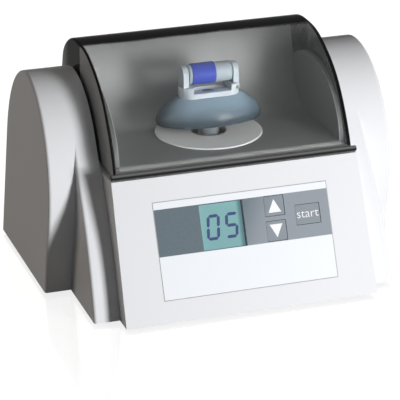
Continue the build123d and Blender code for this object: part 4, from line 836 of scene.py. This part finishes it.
def dress_outside():
    """The casing, its tray and feet, and the control panel."""
    casing = moulded_plastic("casing_plastic", (0.765, 0.775, 0.8), 0.42, 0.45, 0.012, tint=0.01)
    dress(casing, "upper_housing")
    dress(moulded_plastic("tray_plastic", (0.42, 0.42, 0.42), 0.55, 0.8, 0.03), "base_tray")
    dress(rubber("foot_rubber", (0.03, 0.03, 0.032), 0.7), "rubber_feet", "isolators")
    dress(printed_foil(), "control_membrane")
    dress(clear_pane(), "lcd_window")
    dress(liquid_crystal(), "lcd_module")
    dress(key_print(), "up_key", "down_key", "start_key")


def dress_works():
    """The boards, the drive and the mains parts inside the casing and at its back."""
    dress(circuit_board(), "control_board", "power_board")
    steel = turned_metal("bright_steel", (0.62, 0.62, 0.63), 0.25, stretch=(8.0, 1.0, 1.0))
    dress(steel, *STEEL_NODES)
    zinc = turned_metal("zinc_plate", (0.55, 0.57, 0.6), 0.35, relief_mm=0.02)
    dress(zinc, "motor_can", "counterweight", "motor_straps")
    dress(cast_alloy(), "motor_end_caps", "arm_hub", "drive_frame")
    dress(wound_copper(), "motor_stator")
    nylon = moulded_plastic("natural_nylon", (0.8, 0.8, 0.76), 0.4, 1.2, 0.03)
    dress(nylon, "guide_block", "lid_cam")
    black = moulded_plastic("black_plastic", (0.025, 0.025, 0.028), 0.42, 0.6, 0.03, tint=0.2)
    dress(black, *BLACK_NODES)
    dress(turned_metal("nickel_plate", (0.7, 0.67, 0.6), 0.2), "inlet_pins")
    dress(fuse_glass(), "fuses")
    dress(taped_coil(), "transformer")
    dress(moulded_plastic("capacitor_sleeve", (0.02, 0.025, 0.06), 0.3, 3.0, 0.02), "capacitors")


def dress_chamber():
    """The mixing chamber, its hood, and the head with its capsule."""
    dress(chamber_plastic(), "chamber_liner")
    dress(moulded_plastic("disc_plastic", (0.93, 0.93, 0.92), 0.25, 0.6, 0.005), "chamber_disc")
    dress(smoky_acrylic(), "lid_hood")
    dress(smoky_bar(), "lid_grip_bar")
    dress(boot_rubber(), "head_boot")
    holder = milky_plastic("holder_plastic", (0.62, 0.68, 0.73), 0.3)
    dress(holder, "capsule_holder", "spring_prong")
    dress(milky_plastic("capsule_plastic", (0.5, 0.56, 0.62), 0.25), "capsule_body")
    dress(glossy_blue(), "capsule_band")


def studio_floor():
    """A floor that shows white to the eye, mirrors the object faintly and hardly lights it."""
    finish = Finish("studio_floor", FLOOR_COLOUR, FLOOR_ROUGHNESS)
    near, kept = FLOOR_CONTACT_SHADOW
    open_sky = finish.node("ShaderNodeAmbientOcclusion", inputs={"Distance": near}, output="AO")
    straight = finish.ray("Is Camera Ray")
    # the glow is dimmed near the object by occlusion: a painted contact shadow
    strength = finish.surround(*FLOOR_GLOW) * (open_sky * (1.0 - kept) + kept)
    strength = strength - straight * FLOOR_DIMMED
    glow = finish.node("ShaderNodeEmission", inputs={"Strength": strength})
    mirror = finish.node("ShaderNodeBsdfAnisotropic", inputs=FLOOR_MIRROR)
    mirroring = finish.node("ShaderNodeAddShader", inputs=(finish.shader, mirror))
    lit = finish.layer(straight, finish.shader, mirroring)
    finish.show(finish.node("ShaderNodeAddShader", inputs=(lit, glow)))
    mesh = bpy.data.meshes.new("studio_floor")
    corners = [(-1, -1), (1, -1), (1, 1), (-1, 1)]
    points = [(x * FLOOR_REACH, y * FLOOR_REACH, 0) for x, y in corners]
    mesh.from_pydata(points, [], [(0, 1, 2, 3)])
    mesh.materials.append(finish.material)
    floor = bpy.data.objects.new("studio_floor", mesh)
    bpy.context.scene.collection.objects.link(floor)


def studio_sky():
    """A sky that shows white to the eye, and lends the object a weak warm light."""
    world = bpy.data.worlds.new("studio_world")
    world.use_nodes = True
    sky = NodeTree(world.node_tree)
    glow = sky.surround(*SKY_GLOW).most(SKY_FILL)
    colour = sky.mix(glow.rise(SKY_FILL, 2 * SKY_FILL), SKY_FILL_COLOUR, WHITE)
    shine = sky.node("ShaderNodeBackground", inputs={"Color": colour, "Strength": glow})
    sky.feed(sky.tree.nodes.new("ShaderNodeOutputWorld").inputs["Surface"], shine)
    bpy.context.scene.world = world


def lamp(name, at, size, power, colour, only):
    """A soft lamp that faces the object and doesn't show in gloss.

    It lights everything, or only the CAD nodes that are named.
    """
    light = bpy.data.lights.new(name, "AREA")
    light.shape = "RECTANGLE"
    light.size, light.size_y = size
    light.energy = power
    light.color = colour
    holder = bpy.data.objects.new(name, light)
    holder.location = at
    holder.rotation_euler = (LAMPS_AIM - Vector(at)).to_track_quat("-Z", "Y").to_euler()
    holder.visible_glossy = False
    bpy.context.scene.collection.objects.link(holder)
    if only:
        lit = bpy.data.collections.new(name + "_lights")
        for receiver in only:
            lit.objects.link(nodes[receiver])
        holder.light_linking.receiver_collection = lit


def set_camera():
    """The photograph's own view."""
    lens = bpy.data.cameras.new("photo_view")
    lens.lens = CAMERA_LENS
    lens.sensor_width = CAMERA_SENSOR
    lens.clip_start, lens.clip_end = CAMERA_CLIP
    camera = bpy.data.objects.new("photo_view", lens)
    camera.location = CAMERA_AT
    camera.rotation_euler = (CAMERA_AIM - CAMERA_AT).to_track_quat("-Z", "Y").to_euler()
    bpy.context.scene.collection.objects.link(camera)
    bpy.context.scene.camera = camera


set_camera()
dress_outside()
dress_works()
dress_chamber()
white_ink = ink("white_ink", (0.9, 0.91, 0.94))
lcd_digits(ink("display_navy", (0.006, 0.028, 0.16), 0.3))
key_triangle("up_key", "up_button", True, white_ink)
key_triangle("down_key", "down_button", False, white_ink)
start_lettering(white_ink)
studio_floor()
studio_sky()
for lamp_facts in LAMPS:
    lamp(*lamp_facts)
bpy.context.scene.view_settings.view_transform = "Standard"
